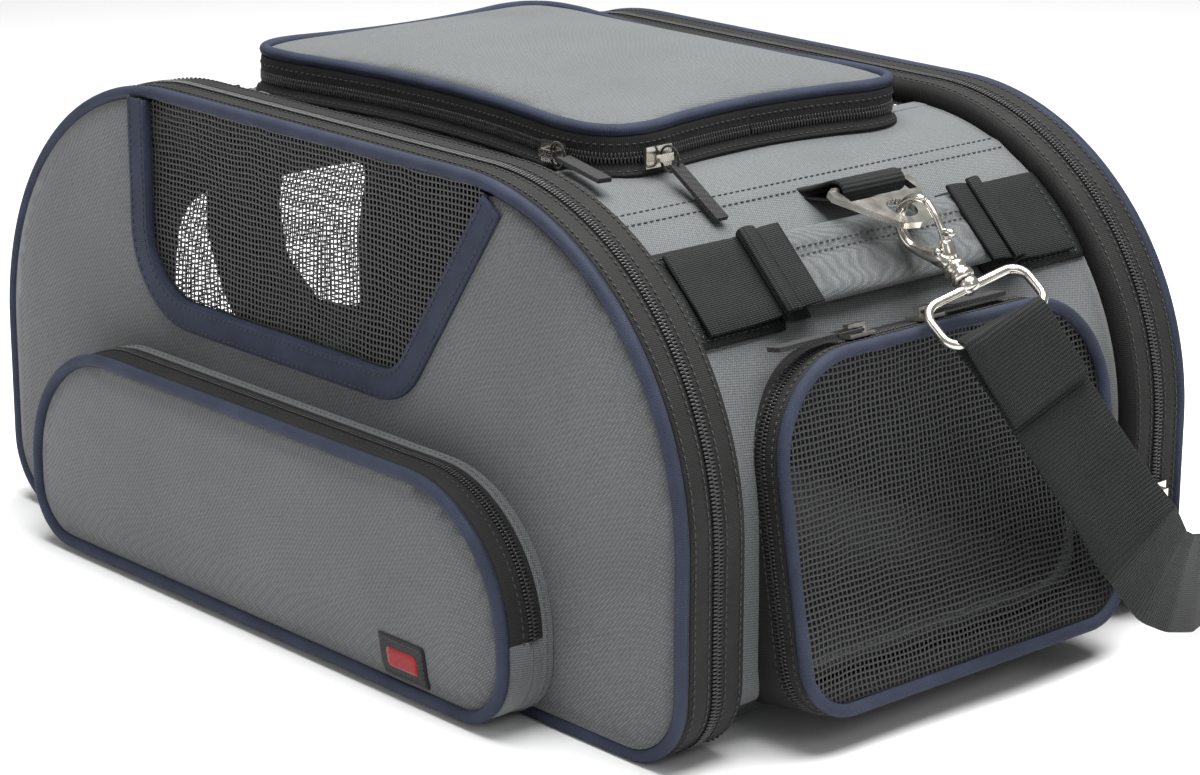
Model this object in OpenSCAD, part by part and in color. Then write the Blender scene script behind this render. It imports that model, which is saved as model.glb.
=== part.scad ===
// Soft pet carrier bag with two arched side panels that zip open, a zipped
// lid, a zipped mesh end door, a front pocket, two padded carry handles and
// a clip-on shoulder strap. Millimetres. X runs along the bag, Y from the
// front panel to the rear panel, Z up. The origin is the middle of the base
// on the ground.

/* [Bag] */
// Length over the piping of the side panels
bag_l = 440; // [360:5:560]
// Height of the side panels
panel_h = 206; // [170:2:260]
// Depth between the outer faces of the side panels
bag_d = 280; // [220:5:340]
// Radius of the upper corners of the side panels
crown_r = 124; // [90:2:140]
// Radius of the lower corners of the side panels
foot_r = 30; // [20:1:45]
// How far the middle of the bag sits inside the zipped rims
waist_in = 9; // [5:0.5:14]

/* [Fabric] */
// Thickness of the padded side panels
panel_t = 4; // [3:0.5:6]
// Thickness of the middle fabric
wall_t = 2.5; // [2:0.5:4]
// Radius of the piping on the side panels
pipe_r = 2.6; // [2:0.1:3.5]
// Thickness of the open mesh
mesh_t = 0.8; // [0.5:0.1:1.2]
// Width of the webbing round the windows
bind_w = 12; // [8:1:16]

/* [Front pocket] */
// Length of the pocket face
pocket_l = 316; // [240:2:340]
// Top of the pocket face above the ground
pocket_top = 94; // [70:1:110]
// How far the pocket stands out
pocket_d = 26; // [16:1:36]

/* [Lid] */
// Length of the lid
lid_l = 232; // [180:2:260]
// Width of the lid at its corners
lid_w = 166; // [130:2:180]
// Depth of the hollow in each long side
lid_waist = 9; // [4:1:14]
// Height of the crown above the lid's piping
lid_crown = 11; // [6:1:16]

/* [End door] */
// Width of the mesh door
door_w = 182; // [150:2:190]
// Height of the mesh door
door_h = 136; // [110:2:140]
// Distance of the door's outer face from the middle
door_x = 241; // [232:1:250]
// Height of the door's lower edge
door_z = 14; // [10:1:24]
// Lean of the door towards the bag, in degrees
door_lean = 10.5; // [0:0.5:12]

/* [Carrying] */
// Width of the padded grips
grip_w = 31; // [28:1:36]
// Length of the padded grips
grip_l = 112; // [90:2:120]
// Width of the shoulder strap
strap_w = 39; // [30:1:50]
// Thickness of the shoulder strap
strap_t = 2; // [1.5:0.1:3]

/* [Hidden] */
$fn = 48;
gap = 0.3;
half_l = bag_l / 2;
half_d = bag_d / 2;
tape_in = 1;
tape_deep = 4.5;
coil_in = 0.4;
coil_w = 4;
edge_in = 5.4;
split_y = 122.4;
rim_y = 108;
wall_y = rim_y - 0.1;
side_z = panel_h - crown_r;
top_z = panel_h - waist_in;
arc_x = half_l - crown_r;
arc_r = crown_r - waist_in;
seam_x = 142;
flange_x = half_l - foot_r - 0.5;
far = 400;

window_left = -106;
window_low = 118;
window_left_r = 28;
window_right_r = 20;
window_right_x = 47;
window_slant = 56;

pocket_x = -7;
pocket_z = 2;
pocket_crown = 58;
pocket_foot = 26;
pocket_half = pocket_l / 2;
pocket_face_y = half_d + pocket_d;
pocket_split_y = half_d + 10;

lid_base = top_z + 3.2;
lid_split = lid_base + 2.6;
lid_coil = 2.3;
lid_edge = lid_base + 11.4;
lid_corner = 18;
lid_end_in = 8;
lid_long_chord = lid_l / 2 - 34;
lid_end_chord = lid_w / 2 - 26;

end_y = -3;
door_half = door_w / 2;
door_crown = 42;
door_foot = 24;
door_pipe_r = 2.5;
door_split = -12;
door_coil = 3.2;

left_half = 55;
left_low = 42;
left_high = 134;

shoulder_a = 46;
patch_w = 42;
patch_t = 1.6;
patch_y0 = 62;
grip_t = 6;

tab_l = 30;
pull_ring_r = 5;
bridge_z = 2.85;
front_slider_x = 88;
end_slider_y = -60;

hang_y = 6;
bar_x = 166;
bar_z = 189.5;
ring_dip = 20;
ring_l = 28.5;
ring_w = 22;
ring_t = 2.6;
eye_at = 19;
eye_r = 6.3;
loop_r = 10;
wire_r = 2.1;
hook_dip = 36;
hook_l = 30;
swivel_turn = 20;
dee_l = 20;
dee_w = 23;
dee_r = 1.9;
strap_y = half_d + 26;
strap_mid = 1.5 + strap_w / 2;
strap_turn = [292, 40, 56];
hook_x = bar_x + (eye_at + loop_r) * cos(ring_dip);
hook_z = bar_z - (eye_at + loop_r) * sin(ring_dip);

fabric = [0.34, 0.36, 0.36];
fabric_light = [0.45, 0.47, 0.48];
navy = [0.17, 0.22, 0.34];
black = [0.09, 0.09, 0.09];
net = [0.05, 0.05, 0.05];
nickel = [0.74, 0.72, 0.67];
patch_red = [0.62, 0.08, 0.10];

// ---- outlines and directions ----

// A flat outline, middle on x = 0, from y = low to y = high, with its own
// corner radius at the top and at the bottom.
module outline(half, low, high, crown, foot) {
    for (s = [-1, 1]) {
        translate([s * (half - foot), low + foot])
            circle(foot);
        intersection() {
            translate([s * (half - crown), high - crown])
                circle(crown);
            translate([s * half - (s > 0 ? crown : 0), high - crown])
                square([crown, crown]);
        }
    }
    translate([-(half - foot), low])
        square([2 * (half - foot), foot]);
    translate([-half, low + foot])
        square([2 * half, high - crown - low - foot]);
    translate([-(half - crown), high - crown])
        square([2 * (half - crown), crown]);
}

module arch(inset) {
    outline(half_l - inset, inset, panel_h - inset, crown_r - inset,
        foot_r - inset);
}

// Draws an (x, z) outline as a plate between two depths.
module along_y(y0, y1) {
    translate([0, max(y0, y1), 0])
        rotate([90, 0, 0])
            linear_extrude(abs(y1 - y0))
                children();
}

// Draws a (y, z) outline as a plate between two x positions.
module along_x(x0, x1) {
    translate([min(x0, x1), 0, 0])
        rotate([90, 0, 90])
            linear_extrude(abs(x1 - x0))
                children();
}

module arch_band(outer, inner, y0, y1) {
    along_y(y0, y1)
        difference() {
            arch(outer);
            arch(inner);
        }
}

// A round cord run along the edge of an outline, in the y = 0 plane.
module edge_cord(half, low, high, crown, foot, r) {
    translate([0, 0, high])
        rotate([0, 90, 0])
            cylinder(h = 2 * (half - crown), r = r, center = true);
    translate([0, 0, low])
        rotate([0, 90, 0])
            cylinder(h = 2 * (half - foot), r = r, center = true);
    for (s = [0, 1])
        mirror([s, 0, 0]) {
            translate([half, 0, low + foot])
                cylinder(h = high - crown - low - foot, r = r);
            translate([half - crown, 0, high - crown])
                rotate([90, 0, 0])
                    rotate_extrude(angle = 90, $fn = 96)
                        translate([crown, 0])
                            circle(r);
            translate([half - foot, 0, low + foot])
                rotate([90, 90, 0])
                    mirror([0, 1, 0])
                        rotate([0, 0, -90])
                            rotate_extrude(angle = 90)
                                translate([foot, 0])
                                    circle(r);
        }
}

// ---- side panels, called wings ----

module window(grow) {
    left_c = [window_left + window_left_r, window_low + window_left_r];
    right_c = [window_right_x, window_low + window_right_r];
    left_r = window_left_r + grow;
    right_r = window_right_r + grow;
    slant = [cos(window_slant), sin(window_slant)];
    tangent = right_c + right_r * [slant[1], -slant[0]];
    intersection() {
        arch(9 - min(grow, 1));
        union() {
            translate(left_c)
                circle(left_r);
            translate(right_c)
                circle(right_r);
            polygon([
                [left_c[0] - left_r, panel_h],
                [left_c[0] - left_r, left_c[1]],
                left_c,
                [left_c[0], left_c[1] - left_r],
                [right_c[0], right_c[1] - right_r],
                right_c,
                tangent,
                tangent + slant * 120
            ]);
        }
    }
}

module wing_panel() {
    along_y(-half_d, -half_d + panel_t)
        difference() {
            arch(edge_in);
            window(0);
        }
}

module wing_tape() {
    difference() {
        union() {
            arch_band(tape_in, tape_deep, -half_d + edge_in - 0.1,
                -split_y - coil_w);
            arch_band(coil_in, tape_deep, -split_y - coil_w, -split_y - gap);
        }
        translate([0, -half_d, 0])
            cube([2 * flange_x + 2, 80, 14], center = true);
    }
}

module wing_piping() {
    translate([0, -half_d + pipe_r - 0.5, 0])
        edge_cord(half_l - pipe_r, pipe_r, panel_h - pipe_r,
            crown_r - pipe_r, foot_r - pipe_r, pipe_r);
}

module window_mesh() {
    along_y(-half_d + 1.6, -half_d + 1.6 + mesh_t)
        intersection() {
            window(-0.1);
            arch(edge_in + 3.8);
        }
}

module window_binding() {
    along_y(-half_d - 1.3, -half_d - 0.1)
        difference() {
            intersection() {
                window(bind_w);
                arch(edge_in + 1.2);
            }
            window(-0.6);
        }
}

module rim_tape() {
    difference() {
        union() {
            arch_band(coil_in, tape_deep, -split_y + gap, -split_y + coil_w);
            arch_band(tape_in, tape_deep, -split_y + coil_w, -rim_y);
            arch_band(tape_in, waist_in + wall_t, -rim_y - 2, -rim_y);
        }
        translate([0, -half_d, 0])
            cube([2 * flange_x + 2, 80, 28], center = true);
    }
}

// ---- middle of the bag ----

module waist_band() {
    arch_band(waist_in, waist_in + wall_t, -wall_y, wall_y);
}

// Padded base, with a thin flange under each zipped rim.
module base_panel() {
    deep = half_d - edge_in - 0.2;
    color(fabric)
        union() {
            translate([-flange_x, -rim_y, 0])
                cube([2 * flange_x, 2 * rim_y, waist_in + wall_t]);
            translate([-flange_x, -deep, 0])
                cube([2 * flange_x, 2 * deep, 2.4]);
        }
}

module end_half() {
    difference() {
        intersection() {
            waist_band();
            translate([seam_x, -half_d, 0])
                cube([far, bag_d, far]);
        }
        cube([2 * flange_x + 0.2, far, 2 * (waist_in + wall_t + 0.1)],
            center = true);
    }
}

module right_end_panel() {
    color(fabric)
        difference() {
            end_half();
            translate([0, end_y, 0])
                along_x(seam_x + 20, far)
                    outline(door_half - 8, door_z + 8, door_z + door_h - 12,
                        door_crown - 8, door_foot - 8);
        }
}

module left_end_panel() {
    color(fabric)
        difference() {
            mirror([1, 0, 0])
                end_half();
            translate([0, end_y, 0])
                along_x(-far, -seam_x - 20)
                    outline(left_half, left_low, left_high, 18, 18);
        }
}

module left_end_mesh() {
    color(net)
        intersection() {
            arch_band(waist_in + 0.9, waist_in + 0.9 + mesh_t, -wall_y, wall_y);
            translate([0, end_y, 0])
                along_x(-far, -seam_x - 20)
                    outline(left_half - 0.1, left_low + 0.1,
                        left_high - 0.1, 17.9, 17.9);
        }
}

// Plan of the lid: a rounded oblong with four hollowed sides.
module lid_plan(grow) {
    half_x = lid_l / 2 + grow;
    half_y = lid_w / 2 + grow;
    long_r = (lid_long_chord * lid_long_chord + lid_waist * lid_waist)
        / (2 * lid_waist);
    end_r = (lid_end_chord * lid_end_chord + lid_end_in * lid_end_in)
        / (2 * lid_end_in);
    corner = lid_corner + grow;
    difference() {
        union() {
            square([2 * half_x, 2 * (half_y - corner)], center = true);
            square([2 * (half_x - corner), 2 * half_y], center = true);
            for (sx = [-1, 1], sy = [-1, 1])
                translate([sx * (half_x - corner), sy * (half_y - corner)])
                    circle(corner);
        }
        for (s = [-1, 1]) {
            translate([0, s * (half_y + long_r - lid_waist)])
                circle(long_r, $fn = 192);
            translate([s * (half_x + end_r - lid_end_in), 0])
                circle(end_r, $fn = 128);
        }
    }
}

module lid_ring(outer, inner, z0, z1) {
    translate([0, 0, z0])
        linear_extrude(z1 - z0)
            difference() {
                lid_plan(outer);
                lid_plan(inner);
            }
}

module shoulder_panels() {
    color(fabric_light)
        difference() {
            waist_band();
            translate([0, 0, 50])
                cube([far * 2, far, 200], center = true);
            for (s = [0, 1])
                mirror([s, 0, 0])
                    translate([seam_x - 0.2, -far / 2, 0])
                        cube([far, far, far]);
            cube([2 * 98, far, far * 2], center = true);
            translate([0, 0, 100])
                linear_extrude(200)
                    lid_plan(-9);
        }
}

module top_mesh_strips() {
    color(net)
        difference() {
            translate([0, 0, top_z - 0.6 - mesh_t / 2])
                cube([2 * 97.8, 2 * wall_y, mesh_t], center = true);
            translate([0, 0, 100])
                linear_extrude(200)
                    lid_plan(-6);
        }
}

module lid_frame_tape() {
    color(black)
        difference() {
            union() {
                lid_ring(2.2, -7, top_z - 12, top_z + 1.2);
                lid_ring(0.4, -4, top_z + 1.2, lid_split - gap);
            }
            along_y(-half_d, half_d)
                arch(waist_in - 0.4);
        }
}

module lid_band() {
    color(black)
        union() {
            lid_ring(0.4, -4, lid_split, lid_split + lid_coil);
            lid_ring(-0.2, -3.4, lid_split + lid_coil, lid_edge - 0.3);
        }
}

// The piping follows the plan as a square-edged cord.
module lid_piping() {
    color(navy)
        union() {
            lid_ring(0.2, -4.6, lid_edge - 0.2, lid_edge + 3.2);
            lid_ring(-0.6, -3.8, lid_edge + 3.2, lid_edge + 4);
        }
}

module lid_top() {
    crown = lid_edge + 1 + lid_crown;
    reach = lid_l / 2;
    ball_r = (reach * reach + lid_crown * lid_crown) / (2 * lid_crown);
    color(fabric_light)
        union() {
            translate([0, 0, lid_edge - 0.2])
                linear_extrude(3)
                    lid_plan(-4.8);
            intersection() {
                translate([0, 0, lid_edge - 0.2])
                    linear_extrude(30)
                        lid_plan(-4.8);
                translate([0, 0, crown - ball_r])
                    sphere(ball_r, $fn = 128);
            }
        }
}

// ---- mesh end door ----

// Stands a shape made in the door's own frame on the right end: x out,
// y along the bag's depth, z up the door, zero on its lower outer edge.
module on_door() {
    translate([door_x, end_y, door_z])
        rotate([0, -door_lean, 0])
            children();
}

module door_outline(inset) {
    outline(door_half - inset, inset, door_h - inset, door_crown - inset,
        door_foot - inset);
}

module door_ring(outer, inner, x0, x1) {
    along_x(x0, x1)
        difference() {
            door_outline(outer);
            door_outline(inner);
        }
}

module door_frame_tape() {
    color(black)
        difference() {
            on_door()
                union() {
                    door_ring(1, 5, -60, door_split - door_coil);
                    door_ring(0.4, 5, door_split - door_coil,
                        door_split - gap);
                }
            along_y(-half_d, half_d)
                arch(waist_in - 0.4);
            cube([2 * flange_x + 1, far, far * 2], center = true);
        }
}

module door_band() {
    color(black)
        on_door()
            union() {
                door_ring(0.4, 5, door_split, door_split + door_coil);
                door_ring(1, 5, door_split + door_coil, -2 * door_pipe_r - 0.1);
            }
}

module door_piping() {
    color(navy)
        on_door()
            translate([-door_pipe_r, 0, 0])
                rotate([0, 0, 90])
                    edge_cord(door_half - door_pipe_r, door_pipe_r,
                        door_h - door_pipe_r, door_crown - door_pipe_r,
                        door_foot - door_pipe_r, door_pipe_r);
}

module door_mesh() {
    color(net)
        on_door()
            along_x(-door_pipe_r - mesh_t, -door_pipe_r)
                door_outline(2 * door_pipe_r + 0.1);
}

// ---- front pocket ----

module pocket_outline(inset) {
    translate([pocket_x, 0])
        outline(pocket_half - inset, pocket_z + inset, pocket_top - inset,
            pocket_crown - inset, pocket_foot - inset);
}

module pocket_ring(outer, inner, y0, y1) {
    along_y(-y0, -y1)
        difference() {
            pocket_outline(outer);
            pocket_outline(inner);
        }
}

module front_pocket_strip() {
    color(fabric_light)
        union() {
            pocket_ring(0, 3, half_d + 0.6, pocket_split_y - coil_w);
            pocket_ring(0.6, 4, pocket_split_y - coil_w,
                pocket_split_y - gap);
        }
}

module pocket_gusset() {
    color(black)
        union() {
            pocket_ring(0.6, 4, pocket_split_y, pocket_split_y + coil_w);
            pocket_ring(1, 4, pocket_split_y + coil_w,
                pocket_face_y - 2 * pipe_r - 0.1);
        }
}

module pocket_piping() {
    color(navy)
        translate([pocket_x, -pocket_face_y + pipe_r, 0])
            edge_cord(pocket_half - pipe_r, pocket_z + pipe_r,
                pocket_top - pipe_r, pocket_crown - pipe_r,
                pocket_foot - pipe_r, pipe_r);
}

module pocket_face() {
    color(fabric)
        along_y(-pocket_face_y + 0.8, -pocket_face_y + 3.8)
            pocket_outline(2 * pipe_r + 0.1);
}

module label_patch() {
    color(patch_red)
        translate([92, -pocket_face_y + 0.1, 17])
            rotate([90, 0, 0])
                linear_extrude(1.1)
                    union() {
                        square([28, 15], center = true);
                        square([25, 18], center = true);
                    }
}

// ---- zip sliders: x across the zip, y along it, z outwards ----

module zip_slider() {
    color(nickel)
        difference() {
            union() {
                translate([-4.2, -6.5, 0.5])
                    cube([8.4, 13, 1.5]);
                translate([-1.5, -4.5, 2])
                    cube([3, 9, 3.4]);
            }
            translate([-3, -2.6, 2])
                cube([6, 5.2, 1.9]);
        }
}

// Wire ring and a folded fabric tab, hanging towards -y from the slider.
module zip_pull() {
    color(black)
        union() {
            translate([0, 0, 2.95])
                difference() {
                    translate([-4, -12, -0.6])
                        cube([8, 13.2, 1.2]);
                    translate([-2.8, -10.8, -1])
                        cube([5.6, 10.8, 2]);
                }
            translate([-3.4, -12 - tab_l, 2.05])
                cube([6.8, tab_l + 0.2, 1.8]);
        }
}

// Wire ring standing on edge through a lid slider's bridge, with a fabric
// tab that slopes down from it by dip. The ring turns in the bridge.
module lid_pull(dip) {
    color(black)
        translate([pull_ring_r, 0, 0])
            rotate([0, dip, 0])
                union() {
                    rotate([90, 0, 0])
                        rotate_extrude()
                            translate([pull_ring_r, 0])
                                circle(0.5);
                    translate([pull_ring_r - 0.8, -3, -0.9])
                        cube([tab_l, 6, 1.8]);
                }
}

// Places for the sliders: zero on the zip's outer surface, z out of it and
// -y the way the pull lies.
module at_lid_front() {
    translate([front_slider_x, -lid_w / 2 - 1.4, lid_split])
        rotate([90, 0, 0])
            rotate([0, 0, 90])
                children();
}

module at_lid_end() {
    translate([lid_l / 2 + 1.4, end_slider_y, lid_split])
        rotate([90, 0, 90])
            rotate([0, 0, -90])
                children();
}

module at_door(y) {
    on_door()
        translate([door_split, y, door_h])
            children();
}

module at_wing() {
    translate([-half_l, -split_y, 52])
        rotate([0, -90, 0])
            rotate([0, 0, -90])
                children();
}

module at_pocket() {
    translate([pocket_x - pocket_half, -pocket_split_y, 50])
        rotate([0, -90, 0])
            rotate([0, 0, -90])
                children();
}

// ---- carry handles ----

// Tangent frame on the rounded shoulder: x down the slope, z outwards.
module on_shoulder(angle) {
    translate([arc_x, 0, side_z])
        rotate([0, 90 - angle, 0])
            translate([0, 0, arc_r])
                children();
}

module handle_patches() {
    color(black)
        for (s = [0, 1], t = [0, 1])
            mirror([s, 0, 0])
                mirror([0, t, 0])
                    intersection() {
                        along_y(patch_y0, rim_y - 0.1)
                            difference() {
                                arch(waist_in - patch_t);
                                arch(waist_in - 0.1);
                            }
                        on_shoulder(shoulder_a)
                            translate([-patch_w / 2, 0, -20])
                                cube([patch_w, far, 60]);
                    }
}

module handle_webbing() {
    color(black)
        on_shoulder(shoulder_a)
            for (t = [0, 1])
                mirror([0, t, 0]) {
                    translate([-patch_w / 2 + 1, grip_l / 2 + 0.2, 3])
                        cube([patch_w - 2, 8, 2]);
                    translate([-patch_w / 2 + 1, grip_l / 2 + 6.2, 2.4])
                        cube([patch_w - 2, 2, 3]);
                }
}

module handle_grip() {
    color(fabric_light)
        on_shoulder(shoulder_a)
            translate([0, grip_l / 2, grip_t / 2 + 1.2])
                rotate([90, 0, 0])
                    linear_extrude(grip_l)
                        union() {
                            square([grip_w - grip_t, grip_t], center = true);
                            for (s = [-1, 1])
                                translate([s * (grip_w - grip_t) / 2, 0])
                                    circle(d = grip_t);
                        }
}

// ---- strap hardware on the right end ----

module on_ring() {
    translate([bar_x, hang_y, bar_z])
        rotate([0, ring_dip, 0])
            children();
}

module on_hook() {
    translate([hook_x, hang_y, hook_z])
        rotate([0, hook_dip, 0])
            children();
}

module ring_loop() {
    rise = bar_z - 186;
    on_ring()
        difference() {
            union() {
                rotate([90, 0, 0])
                    cylinder(h = 34, r = 4.4, center = true);
                rotate([0, 65, 0])
                    translate([0.4, -16.5, -4.1])
                        cube([12.6 + rise, 33, 1.7]);
            }
            rotate([90, 0, 0])
                cylinder(h = 40, r = 2.3, center = true);
        }
}

module ring_loops() {
    color(black)
        for (s = [0, 1])
            mirror([s, 0, 0])
                difference() {
                    ring_loop();
                    along_y(-half_d, half_d)
                        arch(waist_in - 0.1);
                }
}

module strap_ring() {
    color(nickel)
        on_ring()
            union() {
                translate([0, 0, -ring_t / 2])
                    linear_extrude(ring_t)
                        difference() {
                            polygon([
                                [0, -ring_w], [4, -ring_w - 1],
                                [ring_l, -8], [ring_l + 1.5, 0],
                                [ring_l, 8], [4, ring_w + 1],
                                [0, ring_w]
                            ]);
                            translate([-1, -18.2])
                                square([10, 36.4]);
                            translate([eye_at, 0])
                                circle(eye_r);
                        }
                rotate([90, 0, 0])
                    cylinder(h = 38, r = 1.9, center = true);
            }
}

// A wire bent round the y axis, from one angle to another, where 0 points
// along x and 90 along z.
module wire_arc(from, to) {
    rotate([90, 0, 0])
        rotate([0, 0, from])
            rotate_extrude(angle = to - from)
                translate([loop_r, 0])
                    circle(wire_r);
}

module snap_hook() {
    color(nickel)
        on_hook()
            union() {
                wire_arc(118, 378);
                translate([loop_r - 1, 0, 0])
                    rotate([0, 90, 0])
                        cylinder(h = hook_l - loop_r - 6, r1 = 4.4, r2 = 3.4);
                translate([hook_l - 7.5, 0, 0])
                    rotate([0, 90, 0])
                        cylinder(h = 7.5, r = 4.8);
            }
}

module hook_gate() {
    foot = [loop_r * cos(44), loop_r * sin(44)];
    nose = [loop_r * cos(106), loop_r * sin(106)];
    span = norm(nose - foot);
    lean = atan2(nose[0] - foot[0], nose[1] - foot[1]);
    color(nickel)
        on_hook()
            translate([foot[0], 0, foot[1]])
                rotate([0, lean, 0])
                    union() {
                        cylinder(h = span, r = 1.7);
                        sphere(r = 2);
                    }
}

// Barrel and flat-sided ring that the strap is sewn round.
module swivel_ring(turn) {
    color(nickel)
        on_hook()
            rotate([turn, 0, 0])
                union() {
                    translate([hook_l + 0.3, 0, 0])
                        rotate([0, 90, 0])
                            cylinder(h = 4.5, r = 4.2);
                    for (s = [0, 1])
                        mirror([0, s, 0]) {
                            translate([hook_l + 3, 0, 0])
                                rotate([-90, 0, 0])
                                    cylinder(h = dee_w - 8, r = dee_r);
                            translate([hook_l + 11, dee_w - 8, 0])
                                rotate([0, 0, 180])
                                    mirror([0, 1, 0])
                                        rotate_extrude(angle = 90)
                                            translate([8, 0])
                                                circle(dee_r);
                            translate([hook_l + 11, dee_w, 0])
                                rotate([0, 90, 0])
                                    cylinder(h = dee_l - 11 + 3, r = dee_r);
                            translate([hook_l + dee_l + 3, 0, 0])
                                rotate([-90, 0, 0])
                                    cylinder(h = dee_w, r = dee_r);
                            translate([hook_l + dee_l + 3, dee_w, 0])
                                sphere(r = dee_r);
                        }
                }
}

// ---- shoulder strap, laid round the back of the bag ----

// A straight run of webbing between two points, its width leaning by roll.
module run(a, b, roll) {
    d = b - a;
    flat = norm([d[0], d[1]]);
    translate(a)
        rotate([0, 0, atan2(d[1], d[0])])
            rotate([0, -atan2(d[2], flat), 0])
                rotate([roll, 0, 0])
                    translate([0, -strap_t / 2, -strap_w / 2])
                        cube([norm(d), strap_t, strap_w]);
}

// Middle of the bar that the strap is sewn round, on the right swivel ring.
strap_bar = [hook_x + (hook_l + dee_l + 3) * cos(hook_dip), hang_y,
    hook_z - (hook_l + dee_l + 3) * sin(hook_dip)];

// From the right swivel ring down to a fold and back to the rear corner. It
// starts short of the ring, where the sewn loop round the bar is left out.
module strap_front() {
    drop = strap_turn - strap_bar;
    right_end = strap_bar + drop * 12 / norm(drop);
    color(black)
        union() {
            run(right_end, strap_turn, -48);
            run(strap_turn - [2, 0, 0], [half_l + 10, 143, strap_mid], 0);
        }
}

// Flat along the ground behind the bag, then round the left end and up to
// the left swivel ring, stopping short of it.
module strap_rear() {
    left_corner = [-half_l - 8, strap_y - 8, strap_mid];
    left_side = [-half_l - 24, 62, strap_mid];
    left_rise = [-half_l - 22, 24, 48];
    left_mid = [-half_l - 20, -4, 90];
    left_end = [-strap_bar[0], strap_bar[1] - 2, strap_bar[2] - 13];
    color(black)
        union() {
            run([half_l + 8, strap_y, 1.6], [-half_l - 12, strap_y, 1.6], 90);
            run(left_corner, left_side, 0);
            run(left_side, left_rise, 0);
            run(left_rise, left_mid, 30);
            run(left_mid, left_end, 60);
        }
}

// ---- the nodes ----

module rim_tapes() {
    color(black)
        for (t = [0, 1])
            mirror([0, t, 0])
                rim_tape();
}

module front_wing_panel() {
    color(fabric)
        wing_panel();
}

module front_wing_tape() {
    color(black)
        wing_tape();
}

module front_wing_piping() {
    color(navy)
        wing_piping();
}

module front_window_mesh() {
    color(net)
        window_mesh();
}

module front_window_binding() {
    color(navy)
        window_binding();
}

module rear_wing_panel() {
    color(fabric)
        rotate([0, 0, 180])
            wing_panel();
}

module rear_wing_tape() {
    color(black)
        rotate([0, 0, 180])
            wing_tape();
}

module rear_wing_piping() {
    color(navy)
        rotate([0, 0, 180])
            wing_piping();
}

module rear_window_mesh() {
    color(net)
        rotate([0, 0, 180])
            window_mesh();
}

module rear_window_binding() {
    color(navy)
        rotate([0, 0, 180])
            window_binding();
}

module lid_zip_pull_front() {
    translate([front_slider_x, -lid_w / 2 - 1.4 - bridge_z, lid_split])
        rotate([0, 0, -10])
            lid_pull(5);
}

module lid_zip_pull_end() {
    translate([lid_l / 2 + 1.4 + bridge_z, end_slider_y, lid_split])
        lid_pull(32);
}

base_panel();
right_end_panel();
left_end_panel();
shoulder_panels();
top_mesh_strips();
rim_tapes();
lid_frame_tape();
door_frame_tape();
left_end_mesh();
handle_patches();
ring_loops();
front_wing_panel();
front_wing_tape();
front_wing_piping();
front_window_mesh();
front_window_binding();
front_pocket_strip();
rear_wing_panel();
rear_wing_tape();
rear_wing_piping();
rear_window_mesh();
rear_window_binding();
pocket_face();
pocket_piping();
pocket_gusset();
label_patch();
at_pocket() zip_slider();  // pocket_zip_slider
at_pocket() zip_pull();  // pocket_zip_pull
lid_top();
lid_piping();
lid_band();
at_lid_front() zip_slider();  // lid_zip_slider_front
lid_zip_pull_front();
at_lid_end() zip_slider();  // lid_zip_slider_end
lid_zip_pull_end();
door_mesh();
door_piping();
door_band();
at_door(-36) zip_slider();  // door_zip_slider_front
at_door(-36) zip_pull();  // door_zip_pull_front
at_door(2) rotate([0, 0, 180]) zip_slider();  // door_zip_slider_rear
at_door(2) rotate([0, 0, 180]) zip_pull();  // door_zip_pull_rear
at_wing() zip_slider();  // front_zip_slider
at_wing() zip_pull();  // front_zip_pull
rotate([0, 0, 180]) at_wing() zip_slider();  // rear_zip_slider
rotate([0, 0, 180]) at_wing() zip_pull();  // rear_zip_pull
handle_webbing();  // right_handle_webbing
handle_grip();  // right_handle_grip
mirror([1, 0, 0]) handle_webbing();  // left_handle_webbing
mirror([1, 0, 0]) handle_grip();  // left_handle_grip
strap_ring();  // right_strap_ring
snap_hook();  // right_snap_hook
hook_gate();  // right_hook_gate
swivel_ring(swivel_turn);  // right_swivel_ring
mirror([1, 0, 0]) strap_ring();  // left_strap_ring
mirror([1, 0, 0]) snap_hook();  // left_snap_hook
mirror([1, 0, 0]) hook_gate();  // left_hook_gate
mirror([1, 0, 0]) swivel_ring(-swivel_turn);  // left_swivel_ring
strap_front();
strap_rear();
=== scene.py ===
"""Looks for the pet carrier bag: sewn fabric, zips, open mesh, webbing and nickel hardware.

Lengths are metres in the row frame: X along the bag to the end door, Y to the rear panel, Z up.
"""
import math

import bmesh
import bpy
import numpy as np
from mathutils import Matrix, Vector, noise


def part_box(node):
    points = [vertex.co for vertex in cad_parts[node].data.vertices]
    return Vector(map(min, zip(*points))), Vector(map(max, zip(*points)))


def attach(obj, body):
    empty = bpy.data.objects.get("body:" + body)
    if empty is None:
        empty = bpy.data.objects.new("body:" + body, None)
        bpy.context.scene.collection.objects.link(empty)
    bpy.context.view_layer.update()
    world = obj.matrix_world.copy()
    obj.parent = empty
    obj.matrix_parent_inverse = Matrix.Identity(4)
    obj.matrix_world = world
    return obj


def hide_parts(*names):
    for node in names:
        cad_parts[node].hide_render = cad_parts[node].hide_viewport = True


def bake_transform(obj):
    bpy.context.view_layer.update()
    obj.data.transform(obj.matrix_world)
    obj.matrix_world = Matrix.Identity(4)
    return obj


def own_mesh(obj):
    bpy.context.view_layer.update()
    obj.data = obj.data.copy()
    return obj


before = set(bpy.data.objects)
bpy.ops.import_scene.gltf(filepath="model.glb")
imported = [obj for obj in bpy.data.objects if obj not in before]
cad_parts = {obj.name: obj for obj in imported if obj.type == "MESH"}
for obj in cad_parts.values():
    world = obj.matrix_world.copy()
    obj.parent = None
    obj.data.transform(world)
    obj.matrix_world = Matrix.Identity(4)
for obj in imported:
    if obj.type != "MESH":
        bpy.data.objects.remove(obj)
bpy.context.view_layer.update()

MM = 0.001
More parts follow.
